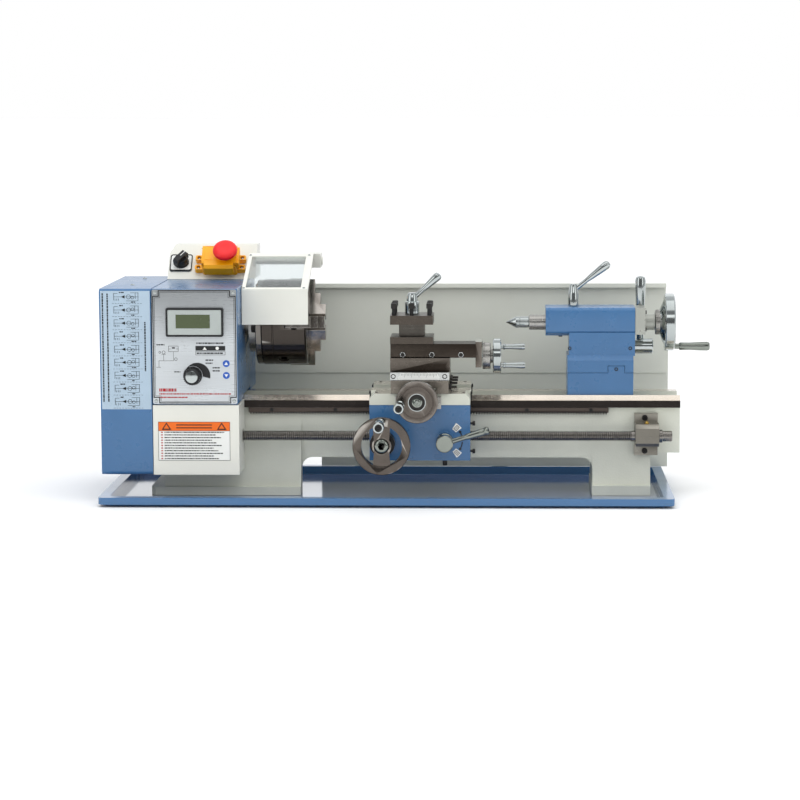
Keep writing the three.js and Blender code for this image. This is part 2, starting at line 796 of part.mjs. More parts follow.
// Gears of the apron: the handwheel's own gear turns the large gear on the pinion's shaft.
const pinionZ = rackLine - (APRON_TEETH.pinion * RACK.module) / 2;
const apronDistance = ((APRON_TEETH.wheel + APRON_TEETH.large) * RACK.module) / 2;
const pinionX = APRON.wheelX + Math.sqrt(apronDistance ** 2 - (pinionZ - APRON.wheelZ) ** 2);

function rackPhase() {
  const centre = CARRIAGE_X + pinionX;
  const nearest = firstTooth + Math.round((centre - firstTooth) / rackPitch) * rackPitch;
  const radius = (APRON_TEETH.pinion * RACK.module) / 2;
  return Math.PI / 2 - (nearest - centre) / radius + Math.PI / APRON_TEETH.pinion;
}

function rackPinion() {
  const large = gearOutline(APRON_TEETH.large, RACK.module, 0);
  const pinion = gearOutline(APRON_TEETH.pinion, RACK.module, rackPhase());
  return join(
    gearSolid("y", [pinionX, pinionZ], -95, -88, large),
    rod("y", [pinionX, pinionZ], -96.6, -55, 5),
    gearSolid("y", [pinionX, pinionZ], -55.5, -48.6, pinion),
  );
}

function apronHandwheel() {
  const { wheelX, wheelZ } = APRON;
  const centre = [wheelX, wheelZ];
  const towards = Math.atan2(wheelZ - pinionZ, wheelX - pinionX);
  const phase = meshPhase(APRON_TEETH.large, 0, APRON_TEETH.wheel, towards);
  return join(
    ring("y", centre, -156, -144.5, 41.3, 29),
    block([wheelX - 11, wheelX + 11], [-153, -146], [wheelZ - 33, wheelZ + 33]),
    rod("y", centre, -158, -112.3, 14),
    rod("y", centre, -134, -112.3, 17),
    rod("y", centre, -113, -96, 6.5),
    rod("y", centre, -97, -88, 5),
    gearSolid("y", centre, -95, -88, gearOutline(APRON_TEETH.wheel, RACK.module, phase)),
  );
}

function wheelHandle(x, z, from, to, radius) {
  const length = from - to;
  return join(
    rod("y", [x, z], to, from - 0.6 * length, radius * 0.93, radius),
    rod("y", [x, z], from - 0.61 * length, from - GAP, radius, radius * 0.62),
  );
}

// Half nuts open at rest: each stands clear of the screw by the travel that closes it.
const nutTravel = 3.7;

function halfNut(side) {
  const low = SCREW.z + side * (nutTravel + 0.15);
  const high = low + side * 14;
  const span = [Math.min(low, high), Math.max(low, high)];
  const bore = rod("x", [SCREW.y, SCREW.z + side * nutTravel], 10, 60, SCREW.radius + 0.4);
  return cut(block([24, 50], [SCREW.y - 10.6, SCREW.y + 11], span), bore);
}

function halfNutLever() {
  const { leverX, leverZ } = APRON;
  const hub = [leverX, leverZ];
  const end = [leverX + 63.3, -143, leverZ + 20];
  const mid = [leverX + 28, -141, leverZ + 8.8];
  return join(
    rod("y", hub, -146, -110.5, 12.3),
    rod("y", hub, -111, -89.5, 6.7),
    rod("y", hub, -96.5, -89.5, 11),
    strut([leverX, -138, leverZ], mid, 4.2, 3.8),
    strut(mid, end, 3.8, 5.6),
  );
}

function crossFeedBracket() {
  const { screwX, screwZ } = CROSS;
  const body = block([-35, 31], [-117, SADDLE.front - GAP], [134, 151.5]);
  return cut(
    join(body, rod("y", [screwX, screwZ], -117, SADDLE.front - GAP, 13)),
    rod("y", [screwX, screwZ], -130, -90, 3.4),
  );
}

function crossHandwheel() {
  const centre = [CROSS.screwX, CROSS.screwZ];
  const recess = rod("y", centre, -170, -164, 12);
  return join(
    cut(rod("y", centre, -168, -156, 30), recess),
    rod("y", centre, -167, -156, 5.5),
    rod("y", centre, -157, -117.3, 8.5),
    rod("y", centre, -140, -117.3, 13.5),
    rod("y", centre, -118, 52, 3),
  );
}

const apronGroup = group(carriage);
piece(carriage, "saddle", saddle(), CREAM);
piece(apronGroup, "apron", apron(), BLUE);
piece(apronGroup, "rack_pinion", rackPinion(), STEEL);
piece(apronGroup, "apron_handwheel", apronHandwheel(), STEEL);
const apronHandle = wheelHandle(APRON.wheelX - 1.5, APRON.wheelZ + 34, -156, -215, 8);
piece(apronGroup, "apron_handle", apronHandle, CHROME);
piece(apronGroup, "half_nut_upper", halfNut(1), DARK_STEEL);
piece(apronGroup, "half_nut_lower", halfNut(-1), DARK_STEEL);
piece(apronGroup, "half_nut_lever", halfNutLever(), CHROME);
piece(carriage, "cross_feed_bracket", crossFeedBracket(), STEEL);
piece(carriage, "cross_handwheel", crossHandwheel(), STEEL);
const crossHandle = wheelHandle(CROSS.screwX - 24, CROSS.screwZ - 3, -168, -220, 7.5);
piece(carriage, "cross_handle", crossHandle, CHROME);

// ---------- cross slide and top slide ----------
const crossSlide = group(carriage);

function crossSlideBody() {
  const { half, front, back, top, screwX, screwZ } = CROSS;
  const bottom = SADDLE.top + GAP;
  const groove = [
    [-19.8, bottom - 1],
    [19.8, bottom - 1],
    [25, 163.6],
    [-25, 163.6],
  ];
  const body = cut(
    block([-half, half], [front, back], [bottom, top]),
    extrude("y", groove, front - 1, back + 1),
  );
  const nut = block([screwX - 6, screwX + 6], [-40, -20], [147.2, 164]);
  return join(body, cut(nut, rod("y", [screwX, screwZ], -50, 0, 3.4)));
}

piece(crossSlide, "cross_slide", crossSlideBody(), DARK_STEEL);

const topSlide = group(crossSlide, 0, TOP_SLIDE_Y, 0);
const dovetailTop = 212;

function swivelBase() {
  const dovetail = [
    [-10, 204],
    [10, 204],
    [13.5, dovetailTop],
    [-13.5, dovetailTop],
  ];
  const corners = block([-42.5, 42.5], [-42.5, -28], [CROSS.top + GAP, 185.3]);
  const body = join(
    rod("z", [0, 0], CROSS.top + GAP, 185.3, 42.5),
    corners,
    block([-43, 43], [-27.5, 27.5], [185, 204.5]),
    extrude("x", dovetail, -43, 43),
  );
  return cut(body, rod("x", [1.5, 205], -50, 50, 3.6));
}

function topSlideBody() {
  const [from, to] = [-42.8, 80.5];
  const [bottom, top] = [204.8, 224.7];
  const groove = [
    [-10.9, bottom - 1],
    [10.9, bottom - 1],
    [14.4, dovetailTop + 0.6],
    [-14.4, dovetailTop + 0.6],
  ];
  const body = cut(
    extrude("x", roundedRect([-22.5, 24.5], [bottom, top], 1), from, to),
    extrude("x", groove, from - 1, to - 0.7),
  );
  const endPlate = block([to - 0.5, 89], [-22.5, 24.5], [190.6, 227.5]);
  const bolt = rod("z", [POST.x, POST.y], top - 1, 263.5, 5.4);
  return cut(
    join(body, endPlate, bolt),
    rod("x", [1.5, 205], 50, 95, 3.4),
  );
}

function topSlideHandwheel() {
  const centre = [1.5, 205];
  return join(
    rod("x", centre, -30, 92, 3),
    rod("x", centre, 89.9, 101.6, 18.9),
    rod("x", centre, 101, 106, 10),
    rod("x", centre, 105, 117, 25.4),
    strut([116, -13.5, 193], [151.5, -13.5, 193], 3.4, 4.8),
    strut([116, 16.5, 217], [151.5, 16.5, 217], 3.4, 4.8),
  );
}

function toolPost() {
  const { x, y, half } = POST;
  const square = (h, z) => block([x - h, x + h], [y - h, y + h], z);
  const post = join(square(half, [225, 235]), square(18.5, [234, 254]), square(half, [253, 266]));
  const screws = [];
  for (const i of [-1, 0, 1]) {
    for (const j of [-1, 0, 1]) {
      if (i === 0 && j === 0) continue;
      const centre = [x + 25.5 * i, y + 25.5 * j];
      screws.push(rod("z", centre, 250, 276, 2.8), rod("z", centre, 275, 283.5, 4.3));
    }
  }
  return cut(join(post, ...screws), rod("z", [x, y], 220, 270, 5.8));
}

function toolPostLever() {
  const { x, y } = POST;
  return join(
    rod("z", [x, y], 266.3, 284, 10.3),
    rod("z", [x, y], 283.9, 297, 10.3, 5.7),
    strut([x + 2, y, 289], [x + 39.3, y, 322.6], 3.5, 6.2),
  );
}

piece(topSlide, "top_slide_base", swivelBase(), DARK_STEEL);
piece(topSlide, "top_slide", topSlideBody(), DARK_STEEL);
piece(topSlide, "top_slide_handwheel", topSlideHandwheel(), CHROME);
piece(topSlide, "tool_post", toolPost(), DARK_STEEL);
piece(topSlide, "tool_post_lever", toolPostLever(), CHROME);

// ---------- tailstock ----------
const tailstock = group(lathe, TAIL_X, 0, 0);

function tailstockBase() {
  const outline = [
    [-40, 143.8],
    [-35.6, WAY.ledge + GAP],
    [-27.6, WAY.ledge + GAP],
    [-26, 134],
    [18, 134],
    [19.6, WAY.ledge],
    [19.6, WAY.rearTop + 0.4],
    [40, WAY.rearTop + 0.4],
    [40, 177.8],
    [-40, 177.8],
  ];
  const key = block([11, 35.3], [-40, 40], [177, 188]);
  const foot = block([-30, 30], [-20, 14], [118, 135]);
  return join(extrude("x", outline, -48, 48), key, foot);
}

function tailstockBody() {
  const lower = [
    [-40, 178.2],
    [40, 178.2],
    [40, 196],
    [32, 203],
    [-32, 203],
    [-40, 196],
  ];
  const body = join(
    extrude("x", lower, -48, 48),
    block([-45.5, 50.5], [-32, 32], [202, 236]),
    extrude("x", roundedRect([-30.5, 30.5], [233.6, 272.5], 6), -79.5, 50.5),
    block([-79.5, -44], [-12, 12], [230, 236]),
  );
  return cut(
    body,
    rod("x", [0, SPINDLE_Z], -90, 60, 11.6),
    block([10.6, 35.7], [-41, 41], [177, 188.4]),
    rod("z", [-38.7, 0], 255, 280, 5.2),
    rod("x", [25, 211], 20, 60, 8.3),
  );
}

function tailstockEndPlate() {
  const plate = block([50.8, 65.5], [-30, 20], [233, 272]);
  return cut(
    join(plate, rod("x", [0, SPINDLE_Z], 65, 80.5, 11.7)),
    rod("x", [0, SPINDLE_Z], 45, 90, 5.3),
  );
}

function quill() {
  const axis = [0, SPINDLE_Z];
  const tube = rod("x", axis, -103.5, 32, 11.3);
  const taper = rod("x", axis, -104, -60, 7.3);
  const thread = rod("x", axis, -61, 33, 5.3);
  return cut(tube, taper, thread, block([-85, 34], [-1.5, 1.5], [SPINDLE_Z + 8.5, SPINDLE_Z + 12]));
}

function deadCentre() {
  const axis = [0, SPINDLE_Z];
  return join(
    rod("x", axis, -138, -123.5, 0.3, 8.3),
    rod("x", axis, -123.6, -103.8, 8.3),
    rod("x", axis, -104, -62, 7),
  );
}

function tailstockHandwheel() {
  const axis = [0, SPINDLE_Z];
  const dish = rod("x", axis, 88, 97, 14, 33);
  const back = join(
    rod("x", axis, 80.8, 96.5, 15, 36),
    ring("x", axis, 96.4, 109.5, 42, 33),
    ring("x", axis, 94, 97, 38, 30),
  );
  const hollow = rod("x", axis, 87, 112, 12, 34.5);
  return join(cut(back, dish, hollow), rod("x", axis, -20, 96, 5), rod("x", axis, 80.8, 98, 9));
}

function tailHandle() {
  const z = SPINDLE_Z - 35.5;
  return join(
    rod("x", [0, z], 109.8, 120, 4.2),
    rod("x", [0, z], 119.5, 161.5, 5.2, 6.6),
  );
}

function quillLockLever() {
  const x = -38.7;
  return join(
    rod("z", [x, 0], 262, 273, 4.9),
    rod("z", [x, 0], 272.8, 291, 8),
    rod("z", [x, 0], 290.9, 305, 8, 5),
    strut([x + 2, 0, 297], [x + 51.2, 0, 335], 3.5, 6.3),
  );
}

function clampLever() {
  const [y, z] = [25, 211];
  return join(
    rod("x", [y, z], 25, 79.5, 8),
    rod("x", [y, z], 51.2, 79.5, 11.2),
    strut([61, 27, z], [61, 31, 314], 5.5, 7.9),
  );
}

piece(tailstock, "tailstock_base", tailstockBase(), BLUE);
piece(tailstock, "tailstock_body", tailstockBody(), BLUE);
piece(tailstock, "tailstock_end_plate", tailstockEndPlate(), STEEL);
piece(tailstock, "quill", quill(), STEEL);
piece(tailstock, "dead_centre", deadCentre(), STEEL);
piece(tailstock, "tailstock_handwheel", tailstockHandwheel(), CHROME);
piece(tailstock, "tailstock_handle", tailHandle(), DARK_STEEL);
piece(tailstock, "quill_lock_lever", quillLockLever(), CHROME);
piece(tailstock, "tailstock_clamp_lever", clampLever(), CHROME);

export default lathe;
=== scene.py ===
"""Benchtop metal lathe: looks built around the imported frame. Lengths in the helpers are millimetres."""

import json
from math import atan2, copysign, cos, pi, radians, sin

import bmesh
import bpy
from mathutils import Matrix, Vector


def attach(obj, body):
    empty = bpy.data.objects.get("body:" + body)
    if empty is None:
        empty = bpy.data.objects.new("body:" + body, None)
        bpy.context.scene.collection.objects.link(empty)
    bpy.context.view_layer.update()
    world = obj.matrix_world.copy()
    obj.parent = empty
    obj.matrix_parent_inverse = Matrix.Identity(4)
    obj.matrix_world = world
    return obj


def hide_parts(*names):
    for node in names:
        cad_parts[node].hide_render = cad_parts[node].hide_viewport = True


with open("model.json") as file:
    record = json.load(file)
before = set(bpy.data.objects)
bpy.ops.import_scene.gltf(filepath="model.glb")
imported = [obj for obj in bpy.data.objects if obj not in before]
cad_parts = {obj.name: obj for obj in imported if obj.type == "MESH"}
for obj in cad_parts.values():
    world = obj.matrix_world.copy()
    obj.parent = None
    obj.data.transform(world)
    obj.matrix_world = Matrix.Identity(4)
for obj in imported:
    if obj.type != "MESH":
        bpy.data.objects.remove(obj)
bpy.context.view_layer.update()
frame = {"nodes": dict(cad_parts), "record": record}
scene = bpy.context.scene
MM = 0.001
SHARP = radians(34)
SPINDLE = (0, 248.7)  # Y and Z of its axis
KNOB = (-276.3, 183.6)  # X and Z of the speed knob's axis
COVER_FRONT = -132
WHITE = (1, 1, 1, 1)
AXES = {"x": Vector((1, 0, 0)), "y": Vector((0, 1, 0)), "z": Vector((0, 0, 1))}


# ---------- materials ----------
def srgb(code):
    parts = [int(code[i : i + 2], 16) / 255 for i in (0, 2, 4)]
    return tuple(c / 12.92 if c < 0.04045 else ((c + 0.055) / 1.055) ** 2.4 for c in parts) + (1,)


class Nodes:
    """A material's node tree with short calls."""

    def __init__(self, name):
        self.material = bpy.data.materials.new(name)
        self.material.use_nodes = True
        self.tree = self.material.node_tree
        self.shader = self.tree.nodes["Principled BSDF"]

    def add(self, kind, **values):
        node = self.tree.nodes.new("ShaderNode" + kind)
        for key, value in values.items():
            setattr(node, key, value)
        return node

    def link(self, start, end):
        self.tree.links.new(start, end)

    def math(self, operation, a, b=0.0):
        node = self.add("Math", operation=operation)
        for socket, value in zip(node.inputs, (a, b)):
            if isinstance(value, (int, float)):
                socket.default_value = value
            else:
                self.link(value, socket)
        return node.outputs[0]

    def noise(self, vector, scale, detail=3.0, rough=0.55):
        node = self.add("TexNoise")
        node.inputs["Scale"].default_value = scale
        node.inputs["Detail"].default_value = detail
        node.inputs["Roughness"].default_value = rough
        self.link(vector, node.inputs["Vector"])
        return node.outputs["Fac"]

    def spread(self, value, low, high, source=(0.3, 0.7)):
        node = self.add("MapRange")
        node.inputs["From Min"].default_value = source[0]
        node.inputs["From Max"].default_value = source[1]
        node.inputs["To Min"].default_value = low
        node.inputs["To Max"].default_value = high
        self.link(value, node.inputs["Value"])
        return node.outputs["Result"]

    def mix(self, factor, a, b):
        node = self.add("Mix", data_type="RGBA")
        for socket, value in zip((node.inputs[0], node.inputs[6], node.inputs[7]), (factor, a, b)):
            if hasattr(value, "is_linked"):
                self.link(value, socket)
            else:
                socket.default_value = value
        return node.outputs[2]

    def place(self):
        return self.add("TexCoord").outputs["Object"]

    def scaled(self, vector, factors):
        node = self.add("VectorMath", operation="MULTIPLY")
        node.inputs[1].default_value = factors
        self.link(vector, node.inputs[0])
        return node.outputs[0]

    def round_lines(self, vector, axis, centre, density):
        """Coordinates that change only along the axis and with the distance from it."""
        i = "xyz".index(axis)
        offset = [0.0, 0.0, 0.0]
        for k, value in zip([k for k in range(3) if k != i], centre):
            offset[k] = value * MM
        moved = self.add("VectorMath", operation="SUBTRACT")
        moved.inputs[1].default_value = offset
        self.link(vector, moved.inputs[0])
        flat = self.scaled(moved.outputs[0], [0 if k == i else 1 for k in range(3)])
        radius = self.add("VectorMath", operation="LENGTH")
        self.link(flat, radius.inputs[0])
        parts = self.add("SeparateXYZ")
        self.link(moved.outputs[0], parts.inputs[0])
        joined = self.add("CombineXYZ")
        self.link(self.math("MULTIPLY", parts.outputs[i], density), joined.inputs[0])
        self.link(self.math("MULTIPLY", radius.outputs["Value"], density), joined.inputs[1])
        return joined.outputs[0]


def shade(colour, factor):
    return tuple(min(1.0, c * factor) for c in colour[:3]) + (1,)


FINISHES = {}
# Key, slot, colour, roughness, metal, coat, tint and its scale, bump and its scale, roughness spread,
# then where there are any: tool marks, their depth and the colour of worn edges.
FINISH_ROWS = (
    ("blue", "blue_paint", "3C6B99", 0.3, 0, 0.25, 0.04, 14, 0.05, 480, 0.05),
    ("tray", "blue_paint", "3C6B99", 0.16, 0, 0.5, 0.03, 10, 0.02, 480, 0.04),
    # The pan's floor: its gloss and coat reflect for real, but its lighter, greyer colour than the tray's blue
    # paint is a painted reflection.
    ("tray_floor", "blue_paint", "7482A8", 0.1, 0, 1.0, 0.04, 6, 0.01, 300, 0.03),
    ("cream", "casting_paint", "D6D8CB", 0.45, 0, 0.1, 0.05, 18, 0.22, 420, 0.07),
    ("white", "white_paint", "DEDED5", 0.35, 0, 0.2, 0.025, 14, 0.05, 700, 0.05),
    ("sheet", "sheet_paint", "D3D5CB", 0.4, 0, 0.15, 0.03, 9, 0.05, 800, 0.05),
    ("way", "steel", "DACFC1", 0.22, 0.85, 0, 0.05, 40, 0.004, 900, 0.05, ("x",), 0.008, "E8E2D8"),
    ("way_side", "dark_steel", "2D2825", 0.32, 0.8, 0, 0.08, 40, 0.006, 900, 0.06, ("x",), 0.02),
    ("rack", "dark_steel", "241F1C", 0.42, 0.6, 0, 0.1, 60, 0.02, 900, 0.07, None, 0, "5A5049"),
    ("dark", "dark_steel", "3B342E", 0.32, 1, 0, 0.08, 45, 0.01, 900, 0.07, ("x",), 0.02, "A39A90"),
    ("neck", "dark_steel", "5E5A54", 0.34, 0.9, 0, 0.08, 45, 0.01, 900, 0.07, ("x",), 0.02, "A39A90"),
    ("dark_y", "dark_steel", "6E685F", 0.32, 0.9, 0, 0.08, 45, 0.01, 900, 0.07, ("y",), 0.03, "A8A095"),
    ("steel", "steel", "918F8A", 0.3, 1, 0, 0.06, 40, 0.01, 900, 0.06, ("x",), 0.02, "C9C7C2"),
    ("chrome", "chrome", "B8BEBD", 0.09, 1, 0, 0.03, 30, 0.004, 300, 0.03),
    ("grey_chrome", "chrome", "8D928B", 0.16, 1, 0, 0.04, 30, 0.004, 300, 0.04),
    ("silver", "steel", "C6C8C6", 0.2, 1, 0, 0.04, 40, 0.004, 900, 0.04),
    ("light_steel", "steel", "AEB0A8", 0.32, 0.45, 0, 0.05, 40, 0.01, 900, 0.06),
    ("jaw", "steel", "8E8780", 0.18, 1, 0, 0.05, 40, 0.006, 900, 0.05, ("z",), 0.012, "DAD5CE"),
    ("bracket", "dark_steel", "77736A", 0.34, 0.9, 0, 0.06, 40, 0.01, 900, 0.06, ("x",), 0.02, "A9A59B"),
    ("plate", "brushed_plate", "D5DADD", 0.34, 0.6, 0, 0.03, 12, 0.004, 900, 0.05, ("x",), 0.012),
    ("black", "black_plastic", "131416", 0.42, 0, 0, 0.15, 40, 0.05, 1400, 0.06),
    ("black_steel", "dark_steel", "151414", 0.4, 0.35, 0, 0.15, 60, 0.02, 900, 0.06, None, 0, "3A3734"),
    ("motor", "motor_paint", "16171A", 0.4, 0, 0, 0.1, 30, 0.12, 600, 0.06),
    ("rubber", "rubber", "1C1C1C", 0.75, 0, 0, 0.15, 60, 0.1, 900, 0.08),
    ("yellow", "yellow_plastic", "F9AE00", 0.36, 0, 0, 0.04, 30, 0.03, 900, 0.05),
    ("red", "red_plastic", "EC0A10", 0.34, 0, 0, 0.05, 30, 0.02, 900, 0.05),
    ("lcd", "black_plastic", "414D2A", 0.25, 0, 0.3, 0.03, 30, 0.0, 900, 0.03),
    ("bezel", "black_plastic", "A9B0AD", 0.35, 0, 0, 0.03, 30, 0.02, 900, 0.04),
    ("ink", "brushed_plate", "0E1113", 0.5, 0, 0, 0.1, 60, 0.0, 900, 0.05),
    ("ink_red", "brushed_plate", "A80E16", 0.5, 0, 0, 0.1, 60, 0.0, 900, 0.05),
    ("ink_blue", "brushed_plate", "1C55B0", 0.4, 0, 0, 0.1, 60, 0.0, 900, 0.05),
    ("paper", "white_paint", "E9EAE6", 0.4, 0, 0, 0.02, 30, 0.0, 900, 0.05),
    ("table", "blue_paint", "A9BDCD", 0.4, 0, 0, 0.03, 30, 0.0, 900, 0.05),
    ("orange", "white_paint", "EC6A00", 0.42, 0, 0, 0.03, 30, 0.0, 900, 0.05),
    ("brass", "steel", "B0904A", 0.25, 1, 0, 0.06, 60, 0.01, 900, 0.05),
)
# Slot, colour, roughness, depth of the tool marks and the colour of worn edges.
TURNED_ROWS = {
    "steel": ("steel", "8F8D88", 0.28, 0.03, "C9C7C2"),
    "chuck": ("steel", "45403C", 0.16, 0.012, "A9A6A0"),
    "chrome": ("chrome", "B8BEBD", 0.1, 0.004, None),
    "wheel": ("steel", "635C56", 0.2, 0.02, "C2BCB4"),
    "screw": ("steel", "6E6A65", 0.24, 0.01, "B0ACA6"),
}


def finish(key, slot, code, rough, metal, coat, tint, tint_scale, bump, bump_scale, rough_vary,
           lines=None, line_bump=0, edge=None):
    """A procedural finish: colour variation, fine bump, tool marks and bright edges."""
    n = Nodes(key)
    base = srgb(code)
    where = n.place()
    patch = n.noise(where, tint_scale, 4)
    colour = n.mix(n.spread(patch, 0, 1), shade(base, 1 - tint), shade(base, 1 + tint))
    fine = n.noise(where, bump_scale, 2)
    height = n.math("MULTIPLY", fine, bump)
    rough_in = n.spread(n.noise(where, tint_scale * 3.3, 5), rough - rough_vary, rough + rough_vary)
    if lines:
        if lines[0] == "round":
            track = n.round_lines(where, lines[1], lines[2], 1600)
        else:
            track = n.scaled(where, [12 if a == lines[0] else 1500 for a in "xyz"])
        mark = n.noise(track, 1.0, 3, 0.7)
        height = n.math("ADD", height, n.math("MULTIPLY", mark, line_bump))
        rough_in = n.math("ADD", rough_in, n.spread(mark, -0.08, 0.1))
        colour = n.mix(n.spread(mark, 0, 0.35), colour, shade(base, 0.72))
    if edge:
        corner = n.add("NewGeometry").outputs["Pointiness"]
        colour = n.mix(n.spread(corner, 0, 0.75, (0.53, 0.6)), colour, srgb(edge))
    n.link(colour, n.shader.inputs["Base Color"])
    n.link(rough_in, n.shader.inputs["Roughness"])
    relief = n.add("Bump")
    relief.inputs["Distance"].default_value = MM
    n.link(height, relief.inputs["Height"])
    n.link(relief.outputs[0], n.shader.inputs["Normal"])
    n.shader.inputs["Metallic"].default_value = metal
    n.shader.inputs["Coat Weight"].default_value = coat
    n.shader.inputs["Coat Roughness"].default_value = 0.12
    FINISHES[key] = (n.material, slot)


def painted_reflection_darker_upwards(key, low, high, factor):
    """Painted reflection: brushed metal made darker towards its top edge, between two heights in metres, standing
    in for the darker surroundings it reflects there.
    """
    tree = FINISHES[key][0].node_tree
    shader = next(node for node in tree.nodes if node.type == "BSDF_PRINCIPLED")
    source = shader.inputs["Base Color"].links[0].from_socket
    kinds = ("NewGeometry", "SeparateXYZ", "MapRange", "Mix")
    where, parts, fade, tone = (tree.nodes.new("ShaderNode" + kind) for kind in kinds)
    tree.links.new(where.outputs["Position"], parts.inputs[0])
    tree.links.new(parts.outputs[2], fade.inputs[0])
    fade.inputs[1].default_value, fade.inputs[2].default_value = low, high
    tone.data_type, tone.blend_type = "RGBA", "MULTIPLY"
    tree.links.new(fade.outputs[0], tone.inputs["Factor"])
    tree.links.new(source, tone.inputs[6])
    tone.inputs[7].default_value = (factor, factor, factor, 1)
    tree.links.new(tone.outputs[2], shader.inputs["Base Color"])


def turned_finish(axis, centre, kind="steel"):
    """Steel whose tool marks run round an axis."""
    key = f"{kind}_{axis}_{centre[0]:g}_{centre[1]:g}".replace("-", "m").replace(".", "p")
    if key not in FINISHES:
        slot, code, rough, depth, worn = TURNED_ROWS[kind]
        finish(key, slot, code, rough, 1.0, 0, 0.05, 30, 0.006, 900, 0.05, ("round", axis, centre), depth, worn)
    return key


def make_finishes():
    for row in FINISH_ROWS:
        finish(*row)
    # Painted reflection: the faceplate's colour is made darker towards its top.
    painted_reflection_darker_upwards("plate", 0.225, 0.3, 0.5)
    clear = Nodes("clear")
    smear = clear.noise(clear.place(), 60, 4)
    clear.link(clear.spread(smear, 0.04, 0.12), clear.shader.inputs["Roughness"])
    clear.shader.inputs["Base Color"].default_value = srgb("E6ECEC")
    clear.shader.inputs["Transmission Weight"].default_value = 0.92
    clear.shader.inputs["IOR"].default_value = 1.2
    FINISHES["clear"] = (clear.material, "clear_plastic")


# ---------- shapes, in millimetres ----------
def prism(axis, outline, start, end):
    """The outline, in the plane across the axis, pushed from start to end."""
    bm = bmesh.new()

    def at(point, t):
        u, v = point
        return {"x": (t, u, v), "y": (u, t, v), "z": (u, v, t)}[axis]

    rings = [[bm.verts.new(at(p, t)) for p in outline] for t in (start, end)]
    for ring in rings:
        bm.faces.new(ring)
    for i in range(len(outline)):
        k = (i + 1) % len(outline)
        bm.faces.new((rings[0][i], rings[0][k], rings[1][k], rings[1][i]))
    bmesh.ops.recalc_face_normals(bm, faces=bm.faces)
    return bm


def block(x, y, z):
    return prism("x", [(y[0], z[0]), (y[1], z[0]), (y[1], z[1]), (y[0], z[1])], *x)


def rounded(u, v, radius):
    """A rectangle's outline with rounded corners."""
    steps = 6
    points = []
    for cu, cv, turn in ((u[1], v[0], -90), (u[1], v[1], 0), (u[0], v[1], 90), (u[0], v[0], 180)):
        mid = (cu - copysign(radius, cu - (u[0] + u[1]) / 2), cv - copysign(radius, cv - (v[0] + v[1]) / 2))
        for i in range(steps + 1):
            a = radians(turn + 90 * i / steps)
            points.append((mid[0] + radius * cos(a), mid[1] + radius * sin(a)))
    return points


def circle(centre, radius, count=48, phase=0.0):
    return [
        (centre[0] + radius * cos(phase + 2 * pi * i / count),
         centre[1] + radius * sin(phase + 2 * pi * i / count))
        for i in range(count)
    ]


def spin(start, along, profile, count=72):
    """The profile of (distance, radius) turned about the line from start, a ring if it ends where it began."""
    bm = bmesh.new()
    along = Vector(along).normalized()
    side = along.orthogonal().normalized()
    across = along.cross(side)
    closed = profile[0] == profile[-1]
    rows = []
    for t, r in profile[:-1] if closed else profile:
        middle = Vector(start) + along * t
        if r < 1e-6:
            rows.append([bm.verts.new(middle)])
            continue
        angles = [2 * pi * k / count for k in range(count)]
        rows.append([bm.verts.new(middle + side * (r * cos(a)) + across * (r * sin(a))) for a in angles])
    pairs = list(zip(rows, rows[1:] + ([rows[0]] if closed else [])))
    for a, b in pairs:
        for k in range(count):
            m = (k + 1) % count
            corner = [a[k % len(a)], a[m % len(a)], b[m % len(b)], b[k % len(b)]]
            face = [v for i, v in enumerate(corner) if v not in corner[:i]]
            if len(face) > 2:
                bm.faces.new(face)
    if not closed:
        for row in (rows[0], rows[-1]):
            if len(row) > 1:
                bm.faces.new(row)
    bmesh.ops.recalc_face_normals(bm, faces=bm.faces)
    return bm


def turned(axis, centre, profile, count=72):
    start = {"x": (0, *centre), "y": (centre[0], 0, centre[1]), "z": (*centre, 0)}[axis]
    return spin(start, AXES[axis], profile, count)


def rod(axis, centre, start, end, radius, count=72):
    return turned(axis, centre, [(start, radius), (end, radius)], count)


def grip(start, end, profile):
    """A lever arm: (share of the length, radius) turned about the line from start to end."""
    start, end = Vector(start), Vector(end)
    length = (end - start).length
    return spin(start, end - start, [(t * length, r) for t, r in profile], 48)


def together(*parts):
    """Separate closed shells in one mesh."""
    bm = bmesh.new()
    for part in parts:
        held = bpy.data.meshes.new("held")
        part.to_mesh(held)
        part.free()
        bm.from_mesh(held)
        bpy.data.meshes.remove(held)
    return bm


def held_object(bm):
    mesh = bpy.data.meshes.new("held")
    bm.to_mesh(mesh)
    bm.free()
    made = bpy.data.objects.new("held", mesh)
    scene.collection.objects.link(made)
    return made


def boolean(operation, base, tools):
    target = held_object(base)
    held = [held_object(t) for t in tools]
    for tool in held:
        step = target.modifiers.new("step", "BOOLEAN")
        step.operation = operation
        step.object = tool
        step.solver = "MANIFOLD"
    done = target.evaluated_get(bpy.context.evaluated_depsgraph_get())
    bm = bmesh.new()
    bm.from_mesh(done.to_mesh())
    done.to_mesh_clear()
    for made in [target, *held]:
        mesh = made.data
        bpy.data.objects.remove(made)
        bpy.data.meshes.remove(mesh)
    return bm


def cut(base, *tools):
    return boolean("DIFFERENCE", base, tools)


def join(base, *tools):
    return boolean("UNION", base, tools)


def from_cad(node):
    """A CAD node's shape in millimetres, its flat faces whole again."""
    bm = bmesh.new()
    bm.from_mesh(frame["nodes"][node].data)
    bm.transform(Matrix.Scale(1 / MM, 4))
    bmesh.ops.remove_doubles(bm, verts=bm.verts, dist=0.002)
    return bm


BODY_OF = {n: b for b, nodes in frame["record"]["behaviour"]["bodies"].items() for n in nodes}


